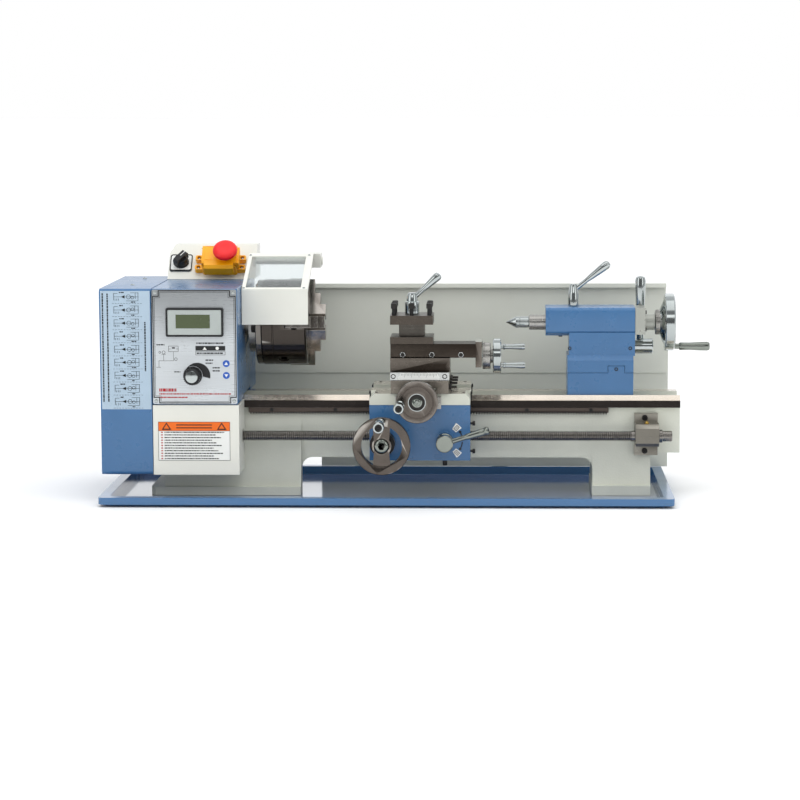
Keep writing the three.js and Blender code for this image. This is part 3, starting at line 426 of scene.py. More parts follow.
def put(name, bm, key, body=None, replaces=(), bevel=0.5, areas=(), segments=2):
    """Makes a piece of the mesh. areas holds (finish, test) for faces that have another finish."""
    bmesh.ops.dissolve_limit(bm, angle_limit=radians(0.4), verts=bm.verts, edges=bm.edges)
    for i, (_, test) in enumerate(areas):
        for f in bm.faces:
            if test(f.calc_center_median(), f.normal):
                f.material_index = i + 1
    bm.transform(Matrix.Scale(MM, 4))
    for f in bm.faces:
        f.smooth = True
    for e in bm.edges:
        e.smooth = len(e.link_faces) == 2 and e.calc_face_angle() < SHARP
    mesh = bpy.data.meshes.new(name)
    bm.to_mesh(mesh)
    bm.free()
    made = bpy.data.objects.new(name, mesh)
    scene.collection.objects.link(made)
    for finish_key in [key] + [a[0] for a in areas]:
        mesh.materials.append(FINISHES[finish_key][0])
    if bevel:
        step = made.modifiers.new("bevel", "BEVEL")
        step.width = bevel * MM
        step.segments = segments
        step.limit_method = "ANGLE"
        step.angle_limit = SHARP
        step.harden_normals = True
    if isinstance(replaces, str):
        replaces = (replaces,)
    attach(made, body or BODY_OF[replaces[0]])
    if replaces:
        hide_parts(*replaces)


def detail(name, parts, key, body):
    """A small piece with sharp edges, of one mesh or of several."""
    put(name, together(*parts) if isinstance(parts, list) else parts, key, body, bevel=0)


def carry(node, key, bevel=0.5, areas=(), segments=2):
    """The CAD node's own shape, with a finish and rounded edges."""
    put(node + "_shown", from_cad(node), key, None, node, bevel, areas, segments)


def facing(bm, centre, direction, roll=0.0):
    """Moves a shape made along +Z at the origin to centre, its top towards direction."""
    turn = Vector(direction).to_track_quat("Z", "Y").to_matrix().to_4x4()
    bm.transform(Matrix.Translation(Vector(centre)) @ turn @ Matrix.Rotation(roll, 4, "Z"))
    return bm


def cap_screw(centre, direction, radius, height, roll=0.2):
    """A socket head: rounded rim and a hexagonal hole."""
    head = spin((0, 0, 0), (0, 0, 1), [(-1.0, radius), (height * 0.86, radius), (height, radius * 0.86)], 32)
    hole = prism("z", circle((0, 0), radius * 0.55, 6), height * 0.4, height + 1)
    return facing(cut(head, hole), centre, direction, roll)


def pan_screw(centre, direction, radius, height=None, roll=0.4):
    """A domed head with a crossed slot."""
    height = height or radius * 0.55
    profile = [(-0.6, radius)] + [(height * sin(a), radius * cos(a)) for a in (0, 0.4, 0.8, 1.15, 1.4)]
    head = spin((0, 0, 0), (0, 0, 1), profile, 28)
    w, r = radius * 0.13, radius * 0.62
    slots = [block((-r, r), (-w, w), (height * 0.45, height + 1)),
        block((-w, w), (-r, r), (height * 0.45, height + 1))]
    return facing(cut(head, *slots), centre, direction, roll)


def slot_screw(centre, direction, radius, height=0.8, roll=0.6):
    head = spin((0, 0, 0), (0, 0, 1), [(-0.5, radius), (height * 0.7, radius), (height, radius * 0.85)], 28)
    groove = block((-radius, radius), (-radius * 0.14, radius * 0.14), (height * 0.3, height + 1))
    return facing(cut(head, groove), centre, direction, roll)


def nut(centre, direction, radius, height, roll=0.0):
    body = spin((0, 0, 0), (0, 0, 1), [(-0.5, radius), (height * 0.8, radius), (height, radius * 0.86)], 6)
    return facing(body, centre, direction, roll)


# ---------- tray and bed ----------
def build_bed():
    # Upward faces of the pan's floor get a lighter copy of the blue paint: a painted reflection.
    carry("chip_tray", "tray", 0.4, [("tray_floor", lambda c, n: c.z < 3 and n.z > 0.9)])

    def side(c, n):
        return 128.9 < c.z < 138.9 and (c.y < -51 or c.y > 44) and abs(n.y) > 0.7

    carry("bed_casting", "cream", 1.0, [("way", lambda c, n: c.z > 138.6), ("way_side", side)])
    carry("gear_rack", "rack", 0)
    bolts = [cap_screw((-171 + 93.1 * k, -55, 125), (0, -1, 0), 2.8, 0.9) for k in range(6)]
    detail("rack_screws", bolts, "black_steel", "frame")
    build_lead_screw()
    carry("leadscrew_right_bracket", "bracket", 0.8)
    details = [cap_screw((372.5, y, z), (0, -1, 0), 4.2, 3.2) for y, z in ((-58.1, 66.3), (-58.1, 114.6))]
    detail("bracket_bolts", details, "black_steel", "frame")
    oiler = turned("z", (374, -82), [(108, 3.4), (110.4, 3.4), (110.9, 2.4), (112.4, 1.5), (112.8, 0)], 32)
    detail("bracket_oiler", oiler, "brass", "frame")
    bolts = [nut((x, 53, 14), (0, 0, 1), 3.5, 4, x) for x in (-250, -160, 322, 362)]
    detail("foot_bolts", bolts, "black_steel", "frame")


def build_lead_screw():
    centre = (-76, 90)
    pitch, steps, first, turns = 3.0, 20, -300.0, 218
    section = ((0, 6.1), (0.65, 7.65), (1.5, 7.65), (2.15, 6.1))
    bm = bmesh.new()
    rows = []
    for k in range(turns * steps + 1):
        a = 2 * pi * k / steps
        x = first + pitch * k / steps
        rows.append([bm.verts.new((x + dx, centre[0] + r * cos(a), centre[1] + r * sin(a))) for dx, r in section])
    for k in range(turns * steps):
        a, b = rows[k], rows[k + 1]
        for i in range(3):
            bm.faces.new((a[i], a[i + 1], b[i + 1], b[i]))
        if k + steps + 1 < len(rows):
            c, d = rows[k + steps], rows[k + steps + 1]
            bm.faces.new((a[3], c[0], d[0], b[3]))
    bmesh.ops.recalc_face_normals(bm, faces=bm.faces)
    detail("lead_screw_thread", bm, turned_finish("x", centre, "screw"), "lead_screw")
    ends = together(
        turned("x", centre, [(-376, 7), (-375, 7.7), (-299, 7.7), (-298, 6.0), (-295, 0)]),
        turned("x", centre, [(350, 0), (350.5, 6.0), (352, 7.7), (410, 7.7), (411, 6.8)]),
        turned("x", centre, [(391.8, 9), (392.4, 9.5), (396.4, 9.5), (397, 9)]),
        rod("x", centre, 411, 411.1, 2.2, 24)
    )
    detail("lead_screw_ends", ends, turned_finish("x", centre, "screw"), "lead_screw")
    gear = cut(from_cad("lead_screw"), block((-361.9, 420), (-200, 0), (0, 200)),
        block((-400, -374.1), (-200, 0), (0, 200)))
    put("lead_screw_gear", gear, "steel", "lead_screw", "lead_screw", 0.3)


# ---------- headstock ----------
def strokes(y, marks, thick=0.25):
    """Printed marks on a face that looks towards the operator: (x0, x1, z0, z1)."""
    return [block((x0, x1), (y - thick, y + 0.05), (z0, z1)) for x0, x1, z0, z1 in marks]


def frame_lines(x0, x1, z0, z1, w=0.5):
    return [(x0, x1, z0, z0 + w), (x0, x1, z1 - w, z1), (x0, x0 + w, z0 + w, z1 - w), (x1 - w, x1, z0 + w, z1 - w)]


def text_lines(x0, x1, z, height, seed, rows=1, step=3):
    """Rows of short dashes that stand for small print."""
    marks = []
    for row in range(rows):
        x, k = x0, seed + row * 7
        while x < x1 - 1.2:
            k = (k * 37 + 11) % 101
            width = 1.2 + (k % 5) * 0.75
            if x + width > x1:
                break
            marks.append((x, x + width, z - row * step - height, z - row * step))
            x += width + 0.7
    return marks


def build_headstock():
    carry("headstock_casting", "blue", 2.2, segments=3)
    carry("front_bearing", turned_finish("x", SPINDLE), 0.4)
    carry("rear_bearing", turned_finish("x", SPINDLE), 0.4)
    carry("spindle_motor", "motor", 0.6)
    carry("drive_belt", "rubber", 0.3)
    carry("gear_banjo", "dark", 0.4)
    carry("change_gear_cover", "blue", 1.6, segments=3)
    carry("idler_gear", "steel", 0.25)
    carry("motor_pulley", "steel", 0.3)
    build_gear_table()
    build_faceplate()
    build_speed_controls()
    build_electrics_box()
    screws = [pan_screw((-372, -60, 308), (0, 0, 1), 3.2)]
    screws += [pan_screw((-410, y, z), (-1, 0, 0), 4.2) for y in (-110, 108) for z in (62, 286)]
    screws += [pan_screw((-372, 70, 308), (0, 0, 1), 3.2)]
    detail("cover_screws", screws, "chrome", "frame")


def turned_text(x, z0, z1, width, seed):
    """A column of small print turned to run up the sheet."""
    return [(x, x + width, a, b) for a, b, _, _ in text_lines(z0, z1, 0, width, seed)]


def build_gear_table():
    """Printed table of gear trains: nine small drawings in dashed rows beside turned print."""
    y = COVER_FRONT
    detail("gear_table", block((-408, -337), (y - 0.2, y + 0.05), (135, 305)), "table", "frame")
    face = y - 0.2
    marks, shapes = [], []
    for seed, x in ((3, -406), (8, -399)):
        marks += turned_text(x, 146, 302, 1.9, seed)
    marks += turned_text(-345.5, 190, 262, 1.9, 5)
    for row in range(9):
        mid = 296.6 - row * 18.8
        marks += [(x, x + 2.4, mid - 9.6, mid - 9.3) for x in range(-391, -349, 4)]
        marks += [(-389, -353, mid - 0.2, mid + 0.2), (-389, -383, mid + 4.6, mid + 5),
            (-389, -388.5, mid - 5, mid + 5)]
        marks += [(x, x + 0.5, mid - 5.5, mid - 2.5) for x in (-387, -384.5, -382)]
        marks.append((-365, -353, mid + 5.6, mid + 6))
        marks += [(-354, -353.5, mid - 5.5, mid + 6), (-358 - row % 2, -357.5 - row % 2, mid - 3, mid + 6),
            (-371, -354, mid - 5.9, mid - 5.5)]
        marks += text_lines(-381, -374, mid + 7, 1.5, row) + text_lines(-364, -357, mid - 6.8, 1.4, row + 4)
        shapes.append(prism("y", [(-373, mid + 2.4), (-373, mid - 2.4), (-378.4, mid)][::-1], face - 0.25,
                face + 0.05))
        for x, z, r in ((-367.5, mid, 3.2), (-362, mid + (1 if row % 2 else -1), 2.3)):
            shapes.append(ring_mark(x, z, r, 20, face - 0.25, face + 0.05))
    parts = strokes(face, marks) + shapes
    detail("gear_table_print", parts, "ink", "frame")


def notched(x0, x1, z0, z1, n):
    return [(x0 + n, z0), (x1 - n, z0), (x1 - n, z0 + n), (x1, z0 + n), (x1, z1 - n), (x1 - n, z1 - n),
            (x1 - n, z1), (x0 + n, z1), (x0 + n, z1 - n), (x0, z1 - n), (x0, z0 + n), (x0 + n, z0 + n)]


def outline_band(outer, inner, y0, y1):
    return cut(prism("y", outer, y0, y1), prism("y", inner, y0 - 1, y1 + 1))


def ring_mark(x, z, radius, count, y0, y1):
    return outline_band(circle((x, z), radius, count), circle((x, z), radius - 0.5, count), y0, y1)


def build_faceplate():
    x0, x1, z0, z1 = -334, -213, 143, 307
    back, y = -132.35, -134.1
    plate = prism("y", rounded((x0, x1), (z0, z1), 2.5), y, back)
    plate = cut(plate, rod("y", KNOB, -140, -130, 4))
    put("faceplate", plate, "plate", None, "control_faceplate", 0.4)
    print_y = y - 0.2
    bands = []
    for outer, inner in ((0.8, 2.2), (3.4, 3.9)):
        a, b = (notched(x0 + d, x1 - d, z0 + d, z1 - d, 8) for d in (outer, inner))
        bands.append(outline_band(a, b, print_y, y + 0.05))
    detail("faceplate_border", bands, "ink", "frame")
    corners = [(x, z) for x in (x0 + 4.5, x1 - 4.5) for z in (z0 + 4.5, z1 - 4.5)]
    screws = [pan_screw((x, y, z), (0, -1, 0), 2.8, 1.1, x) for x, z in corners]
    detail("faceplate_screws", screws, "chrome", "frame")
    cx, cz = KNOB
    strip = block((-272.2, -229.5), (y - 0.25, y + 0.05), (219.7, 226.5))
    disc = [(-270 + 18.7 * cos(radians(a)), cz + 18.7 * sin(radians(a))) for a in range(-12, 191, 7)]
    back_side = [(cx + 14 * cos(radians(a)), cz + 14 * sin(radians(a))) for a in range(185, -9, -7)]
    crescent = prism("y", disc + back_side, y - 0.25, y + 0.05)
    detail("faceplate_strip", together(strip, crescent), "black", "frame")
    marks = text_lines(-271, -231, 231.4, 2, 2) + frame_lines(-272.2, -229.5, 213.3, 218.6, 0.5)
    marks += text_lines(-270.5, -231, 217, 2, 4)
    marks += frame_lines(-311, -296.7, 218, 226.5, 0.5) + [(-304.1, -303.7, 205, 218), (-325, -304, 205, 205.4)]
    marks += [(-325, -324.6, 196, 205), (-318.2, -317.8, 205, 214), (-321, -315, 214, 214.4),
        (-311, -307.5, 222, 222.4)]
    marks += [(-300, -296.7, 222, 222.4), (-306, -301.7, 222.6, 224.6), (-329, -322, 195.6, 196)]
    marks += text_lines(-328, -314, 229, 1.7, 6) + text_lines(-303, -293, 190, 1.5, 7)
    marks += text_lines(-258, -247, 207, 1.8, 8, 2, 4.4) + text_lines(-248, -236, 196, 1.8, 9, 2, 4.4)
    parts = strokes(y, marks, 0.2)
    for x, z, r in ((-317.9, 217.2, 2.4), (-323.5, 217.2, 1.6), (-300.5, 207.5, 2.2)):
        parts.append(ring_mark(x, z, r, 24, y - 0.2, y + 0.05))
    detail("faceplate_print", parts, "ink", "frame")
    spots = (201.1, 184.1)
    signs = [prism("y", circle((-228.4, z), 5), y - 0.25, y + 0.05) for z in spots]
    detail("faceplate_signs", signs, "ink_blue", "frame")
    arrows = [prism("y", [(-231, z - 1.8 * s), (-225.8, z - 1.8 * s), (-228.4, z + 2.6 * s)][::s], y - 0.45,
            y - 0.2) for z, s in zip(spots, (1, -1))]
    arrows += [prism("y", [(-262, 220.9), (-256, 220.9), (-259, 225.3)], y - 0.45, y - 0.15)]
    arrows += [prism("y", circle((-241, 223.1), 2.4, 24), y - 0.45, y - 0.15)]
    detail("faceplate_arrows", arrows, "paper", "frame")
    red = text_lines(-325, -299, 165.3, 4.4, 3) + text_lines(-325, -222, 158.4, 1.8, 5)
    red += text_lines(-325, -283, 153.4, 1.8, 6)
    detail("faceplate_red_print", strokes(y, red, 0.2), "ink_red", "frame")


def build_speed_controls():
    x0, x1, z0, z1 = -314, -231.7, 239.9, 281
    rim = cut(prism("y", rounded((x0, x1), (z0, z1), 2.5), -139, -134.2),
        prism("y", rounded((x0 + 2.6, x1 - 2.6), (z0 + 2.6, z1 - 2.6), 1.5), -141, -137.6))
    put("display_rim", rim, "black", None, "speed_display", 0.6)
    inner = cut(prism("y", rounded((x0 + 2.8, x1 - 2.8), (z0 + 2.8, z1 - 2.8), 1.5), -138.6, -137.5),
        block((x0 + 14.4, x1 - 19), (-140, -137.9), (z0 + 12, z1 - 9.4)))
    put("display_frame", inner, "bezel", "frame", bevel=0.3)
    glass = block((x0 + 14.5, x1 - 19.1), (-138.2, -137.95), (z0 + 12.1, z1 - 9.5))
    detail("display_glass", glass, "lcd", "frame")
    cx, cz = KNOB
    skirt = prism("y",
        [(cx + (12.3 if k % 4 < 2 else 11.5) * cos(pi * k / 48),
                cz + (12.3 if k % 4 < 2 else 11.5) * sin(pi * k / 48)) for k in range(96)], -149.5, -137.5)
    knob = join(skirt, turned("y", KNOB,
            [(-151.2, 9.5), (-149.2, 11.6), (-137, 11.6), (-136.6, 13.3), (-134.8, 13.3)]),
        rod("y", KNOB, -135, -132.7, 3.5))
    put("speed_knob_shown", knob, "black", None, "speed_knob", 0.25)
    cap = turned("y", KNOB, [(-152, 0), (-152, 7.6), (-151.7, 8.5), (-151, 8.8), (-149, 8.8)])
    detail("speed_knob_cap", cap, turned_finish("y", KNOB, "chrome"), "speed_knob")
    line = block((cx - 0.5, cx + 0.5), (-152.15, -151.5), (cz + 2, cz + 8))
    detail("speed_knob_line", line, "black", "speed_knob")


def build_electrics_box():
    carry("electrics_box", "white", 1.6, segments=3)
    y = COVER_FRONT
    x0, x1 = -327.6, -224.2
    detail("label_band", block((x0, x1), (y - 0.3, y + 0.05), (104, 117)), "orange", "frame")
    detail("label_sheet", block((x0, x1), (y - 0.25, y + 0.05), (61, 104)), "paper", "frame")
    marks = frame_lines(x0, x1, 61, 117, 0.5) + [(x0, x1, 103.7, 104.2)]
    for row in range(11):
        marks += text_lines(x0 + 9, x1 - 6 - (row * 13) % 20, 102.6 - row * 3.8, 1.5, row + 2)
    parts = strokes(y - 0.25, marks, 0.2)
    for x in (x0 + 12, x1 - 12):
        rim, hole = [(x - 7, 105.4), (x + 7, 105.4), (x, 116)], [(x - 4.3, 107), (x + 4.3, 107), (x, 113.6)]
        parts.append(cut(prism("y", rim, y - 0.6, y - 0.2), prism("y", hole, y - 1, y)))
    parts += strokes(y - 0.3, [(x0 + 26, x1 - 26, 107.6, 109), (x0 + 26, x1 - 26, 111.8, 113.2)], 0.2)
    detail("label_print", parts, "ink", "frame")
    ticks = [(x0 + 4, x0 + 6.6, 101 - row * 3.8, 102.6 - row * 3.8) for row in range(11)]
    detail("label_ticks", strokes(y - 0.25, ticks, 0.2), "ink_red", "frame")


# ---------- switch box ----------
SLOPE_TURN = atan2(358 - 308.3, 45)


def on_slope(bm):
    """From the sloped panel's own frame, X along the lathe and Z out of the face, to the world."""
    bm.transform(Matrix.Translation((0, 55, 308.3)) @ Matrix.Rotation(SLOPE_TURN, 4, "X"))
    return bm


def build_switches():
    carry("switch_box", "white", 1.2, segments=3)
    plate = prism("z", rounded((-334, -300.5), (13.7, 46.5), 4), 0.05, 1.0)
    put("direction_plate", on_slope(plate), "paper", "frame", bevel=0.2)
    rim = cut(prism("z", rounded((-334, -300.5), (13.7, 46.5), 4), 0.9, 1.4),
        prism("z", rounded((-332.4, -302.1), (17.2, 44.9), 3), 0, 2))
    detail("direction_plate_rim", on_slope(rim), "black", "frame")
    c = (-317, 31)
    base = turned("z", c, [(1.5, 11.5), (3.2, 11.5), (4.2, 10.4), (10.5, 9.6), (11.8, 8.6)])
    lever = prism("x", [(-12.2, 5), (12.2, 5), (12.2, 15), (10, 18), (-10, 18), (-12.2, 15)], -4.4, 4.4)
    line = block((-0.5, 0.5), (0, 10.5), (17.9, 18.2))
    place = Matrix.Translation((*c, 0)) @ Matrix.Rotation(radians(-38), 4, "Z")
    lever.transform(place)
    line.transform(place)
    put("direction_knob_shown", on_slope(join(base, lever)), "black", None, "direction_knob", 0.8)
    detail("direction_knob_line", on_slope(line), "paper", "direction_knob")
    half = 26
    body = join(
        prism("z", rounded((-257 - half, -257 + half), (8, 42), 3), 0.3, 20),
        prism("z", rounded((-295, -219), (11.5, 20.5), 3), 0.3, 9),
        prism("z", rounded((-295, -219), (29.5, 38.5), 3), 0.3, 9)
    )
    spots = [(x, y) for x in (-289.5, -224.5) for y in (16, 34)]
    body = cut(body, *[rod("z", (x, y), 5.5, 12, 3.2) for x, y in spots])
    put("stop_base_shown", on_slope(body), "yellow", None, "stop_switch_base", 0.9)
    screws = [pan_screw((x, y, 5.6), (0, 0, 1), 2.8, 1.8) for x, y in spots]
    detail("stop_base_screws", on_slope(together(*screws)), "chrome", "frame")
    lid = join(prism("x", [(9, 21.2), (42, 21.2), (42, 27), (40.5, 28.5), (12, 28.5), (9, 27)], -283, -231),
        prism("x", [(0.4, 10.5), (7.4, 10.5), (7.4, 21.4), (12, 21.4), (12, 28.5), (4.5, 28.5), (0.4, 25)], -279,
            -235), prism("x", [(10, 13), (34, 13), (40, 17), (40, 26), (10, 26)], -230.9, -227.4),
        block((-233, -227.4), (10, 40), (21.5, 26)))
    button = (-247, 22)
    lid = cut(lid, rod("z", button, 18, 36, 7.7), block((-278, -268), (14, 15), (27.8, 30)),
        block((-278, -236), (39, 39.8), (27.8, 30)))
    put("stop_flap_shown", on_slope(lid), "yellow", None, "stop_flap", 1.1, segments=3)
    detail("stop_flap_pin", on_slope(rod("x", (42, 21), -285, -229, 0.8, 24)), "chrome", "stop_flap")
    head = turned("z", button, [(25, 6.6), (36.6, 7), (37.2, 15), (38, 16.9), (39.6, 18), (41.6, 18.4), (44, 17.6),
            (46, 15.6), (47.2, 12.4), (47.5, 8), (46.9, 6), (46.7, 0)])
    put("stop_button_shown", on_slope(head), "red", None, "stop_button", 0)
    collar = turned("z", button, [(28.55, 8.6), (30, 8.6), (30.2, 7.8), (28.55, 7.8), (28.55, 8.6)])
    detail("stop_button_collar", on_slope(collar), "black", "stop_flap")


# ---------- guards ----------
def build_guards():
    carry("chuck_guard", "white", 0.5)
    carry("guard_window", "clear", 0.3)
    rise = atan2(43, 116.5)
    out = (0, -sin(rise), cos(rise))
    spots = [(x, y) for x in (-208.2, -121) for y in (-76, 33.5)]
    screws = [pan_screw((x, y, 303.5 + (y + 80) * (347 - 303.5) / 117.5), out, 2.1, 1.1, x) for x, y in spots]
    detail("guard_screws", screws, "chrome", "chuck_guard")
    collar = turned("x", (78, 334), [(-129.6, 8.5), (-124.2, 8.5), (-124.2, 6.1), (-129.6, 6.1), (-129.6, 8.5)])
    put("guard_collar", collar, "black_steel", "chuck_guard", bevel=0.4)
    carry("splash_guard", "sheet", 0.5)
    screws = [pan_screw((x, 140, z), (0, 1, 0), 3.2, 1.4, x) for x in (-100, 150, 400) for z in (30, 205)]
    detail("splash_guard_screws", screws, "chrome", "frame")


# ---------- spindle and chuck ----------
def round_spindle(radius, degrees):
    """Y and Z of a point round the spindle's axis, the angle counted from straight up."""
    a = radians(degrees)
    return radius * sin(a), SPINDLE[1] + radius * cos(a)


def turned_about_spindle(degrees):
    return Matrix.Translation((0, *SPINDLE)) @ Matrix.Rotation(radians(degrees), 4, "X")


def build_spindle():
    finish_x = turned_finish("x", SPINDLE)
    carry("spindle", finish_x, 0.5)
    carry("spindle_pulley", "steel", 0.4)
    carry("spindle_gear", "steel", 0.25)
    plate = turned("x", SPINDLE, [(-194.7, 16), (-194.7, 43), (-194, 60.6), (-193, 61.6), (-185.8, 61.6),
            (-185.3, 61.2), (-185.3, 16), (-194.7, 16)], 128)
    put("backplate_shown", plate, turned_finish("x", SPINDLE, "chuck"), None, "chuck_backplate", 0)
    bolts = [nut((-195, *round_spindle(53, 25 + 120 * i)), (-1, 0, 0), 6, 5, i) for i in range(3)]
    detail("backplate_nuts", bolts, "black_steel", "spindle")
    body = turned("x", SPINDLE, [(-184.7, 16), (-184.7, 61.5), (-184, 62.4), (-170, 62.4), (-169.5, 61.9),
            (-168, 61.9), (-167.5, 62.4), (-122, 62.4), (-119.9, 60.6), (-119.7, 60), (-119.7, 40), (-120.2, 39.4),
            (-120.2, 38.4), (-119.7, 38), (-119.7, 17.5), (-121, 16), (-184.7, 16)], 144)
    tools = []
    for i, degrees in enumerate((-35, 85, 205)):
        turn = turned_about_spindle(degrees)
        slot = block((-151, -110), (-8.8, 8.8), (-1, 80))
        groove = block((-141, -133), (-11, 11), (-1, 80))
        key = turned_about_spindle(degrees + 60)
        socket = block((-158, -150), (-4, 4), (48, 80))
        ring = rod("z", (-154, 0), 61.2, 70, 7.4, 32)
        hole = rod("x", (0, 51), -124, -110, 3.2, 24)
        for tool, place in ((slot, turn), (groove, turn), (socket, key), (ring, key), (hole, key)):
            tool.transform(place)
            tools.append(tool)
    put("chuck_body_shown", cut(body, *tools), turned_finish("x", SPINDLE, "chuck"), None, "chuck_body", 0.4)
    bolts = [cap_screw((-122.6, *round_spindle(51, -a)), (1, 0, 0), 3, 1.6) for a in (25, 145, 265)]
    detail("chuck_face_screws", bolts, "black_steel", "spindle")
    for i in (1, 2, 3):
        carry(f"chuck_jaw_{i}", "jaw", 0.5)


# ---------- carriage ----------
def hand_grip(axis_x, axis_z, front, back, radius, name, node):
    """A turned handle along Y: its hollow free end in front, its collar at the wheel."""
    length = back - front
    shape = [(0.05, 0), (0.05, 0.62), (0, 0.68), (0, 0.9), (0.02, 0.97), (0.2, 1.0), (0.42, 0.93), (0.62, 0.8),
        (0.78, 0.7), (0.82, 0.68), (0.83, 0.86), (0.86, 0.9), (0.89, 0.86), (0.9, 0.6), (1, 0.6), (1, 0)]
    profile = [(front + t * length, r * radius) for t, r in shape]
    put(name, turned("y", (axis_x, axis_z), profile, 56), "chrome", None, node, 0)
    deep = front + 0.05 * length
    screw = cut(rod("y", (axis_x, axis_z), deep - 1.4, deep + 0.4, radius * 0.6, 40),
        block((axis_x - 4, axis_x + 4), (deep - 3, deep - 0.8), (axis_z - 0.6, axis_z + 0.6)))
    detail(name + "_screw", screw, "black_steel", node)


# Turns a shape's +Z to the axis.
FROM_Z = {
    "x": Matrix(((0, 0, 1, 0), (1, 0, 0, 0), (0, 1, 0, 0), (0, 0, 0, 1))),
    "y": Matrix(((0, 1, 0, 0), (0, 0, 1, 0), (1, 0, 0, 0), (0, 0, 0, 1))),
}


def dial_marks(axis, centre, radius, start, lengths, count):
    """Thin raised lines round a dial that turns about X or Y, along that axis."""
    place = (0, *centre) if axis == "x" else (centre[0], 0, centre[1])
    parts = []
    for i in range(count):
        line = block((-0.18, 0.18), (radius - 0.1, radius + 0.15), (start, start + lengths[i % 5 == 0]))
        line.transform(Matrix.Rotation(2 * pi * i / count, 4, "Z"))
        line.transform(FROM_Z[axis])
        line.transform(Matrix.Translation(place))
        parts.append(line)
    return parts


def build_carriage():
    def ground(c, n):
        return n.z > 0.9 and c.z > 154 or (abs(n.y) < 0.95 and c.z > 155)

    carry("saddle", "cream", 0.9, [("way", ground)])
    carry("apron", "blue", 1.0, segments=3)
    wipers = []
    for x in (-27.2, 119.7):
        wipers.append(block((x, x + 1.5), (-62, -42), (140.5, 151.5)))
        wipers.append(block((x, x + 1.5), (24, 46), (146, 152)))
    put("saddle_wipers", together(*wipers), "rubber", "carriage", bevel=0.3)
    screws = []
    for x, way in ((-27.3, -1), (121.2, 1)):
        screws += [pan_screw((x, y, 150.6), (way, 0, 0), 2.4, 1.2, y) for y in (-57, -47, 29, 41)]
    for z in (109.5, 69):
        screws += [rod("x", (-85, z), 119, 123, 1.6, 20), rod("x", (-85, z), 122.5, 126.5, 3.4, 28)]
    screws += [slot_screw((x, y, 154.7), (0, 0, 1), 2.2, 0.5, y) for x in (-16, 110) for y in (-88, 50)]
    screws.append(turned("z", (83, -98), [(50, 0), (50, 3), (50.6, 3.4), (57, 3.4), (57, 1.8), (58.5, 1.8),
                (58.5, 0)], 28))
    detail("carriage_screws", screws, "black_steel", "carriage")
    build_apron_wheel()
    build_half_nut_lever()
    carry("rack_pinion", "steel", 0)
    carry("half_nut_upper", "brass", 0.3)
    carry("half_nut_lower", "brass", 0.3)
    carry("cross_feed_bracket", "steel", 0.7)
    bolts = [cap_screw((x, -117, 143), (0, -1, 0), 3.2, 2, x) for x in (19, 71)]
    detail("cross_bracket_screws", bolts, "black_steel", "carriage")
    build_cross_wheel()


def build_apron_wheel():
    centre = (-6, 85)
    rim = turned("y", centre, [(-155.6, 29.2), (-156, 29.8), (-156, 40.5), (-155.2, 41.3), (-145.5, 41.3),
            (-144.5, 40.3), (-144.5, 30), (-145.2, 29.1), (-155.6, 29.2)], 144)
    spokes = prism("y", [(-19, 49.5), (7, 49.5), (5, 75), (5, 95), (7, 120.5), (-19, 120.5), (-17, 95), (-17, 75)],
        -154, -146.5)
    wheel = join(rim, spokes, rod("y", centre, -153, -112.4, 13.8, 96))
    wheel = cut(wheel, rod("y", centre, -160, -152, 11.2, 96))
    put("apron_wheel_shown", wheel, turned_finish("y", centre, "wheel"), None, "apron_handwheel", 0.5)
    hub = turned("y", centre, [(-151.9, 0), (-151.9, 11.1), (-154, 10.7), (-155.8, 9.4), (-157.2, 7.4), (-158, 5.2),
            (-158, 0)], 96)
    put("apron_wheel_hub", cut(hub, prism("y", circle(centre, 5, 6), -160, -153.5)), "grey_chrome",
        "apron_handwheel", bevel=0.3)
    bolt = turned("y", centre, [(-154.4, 0), (-154.4, 3.8), (-153, 3.8), (-153, 0)], 32)
    detail("apron_wheel_bolt", bolt, "black_steel", "apron_handwheel")
    dial = turned("y", centre, [(-134, 13.7), (-134, 17.4), (-133, 18), (-112.6, 18), (-112.6, 13.7), (-134, 13.7)],
        96)
    detail("apron_dial", dial, "black_steel", "apron_handwheel")
    detail("apron_dial_marks", dial_marks("y", centre, 18, -133, (3, 5), 60), "paper", "apron_handwheel")
    gear = cut(from_cad("apron_handwheel"), block((-60, 50), (-200, -112.2), (30, 140)))
    detail("apron_wheel_gear", gear, "steel", "apron_handwheel")
    hand_grip(-7.5, 119, -215, -156.4, 8, "apron_grip", "apron_handle")


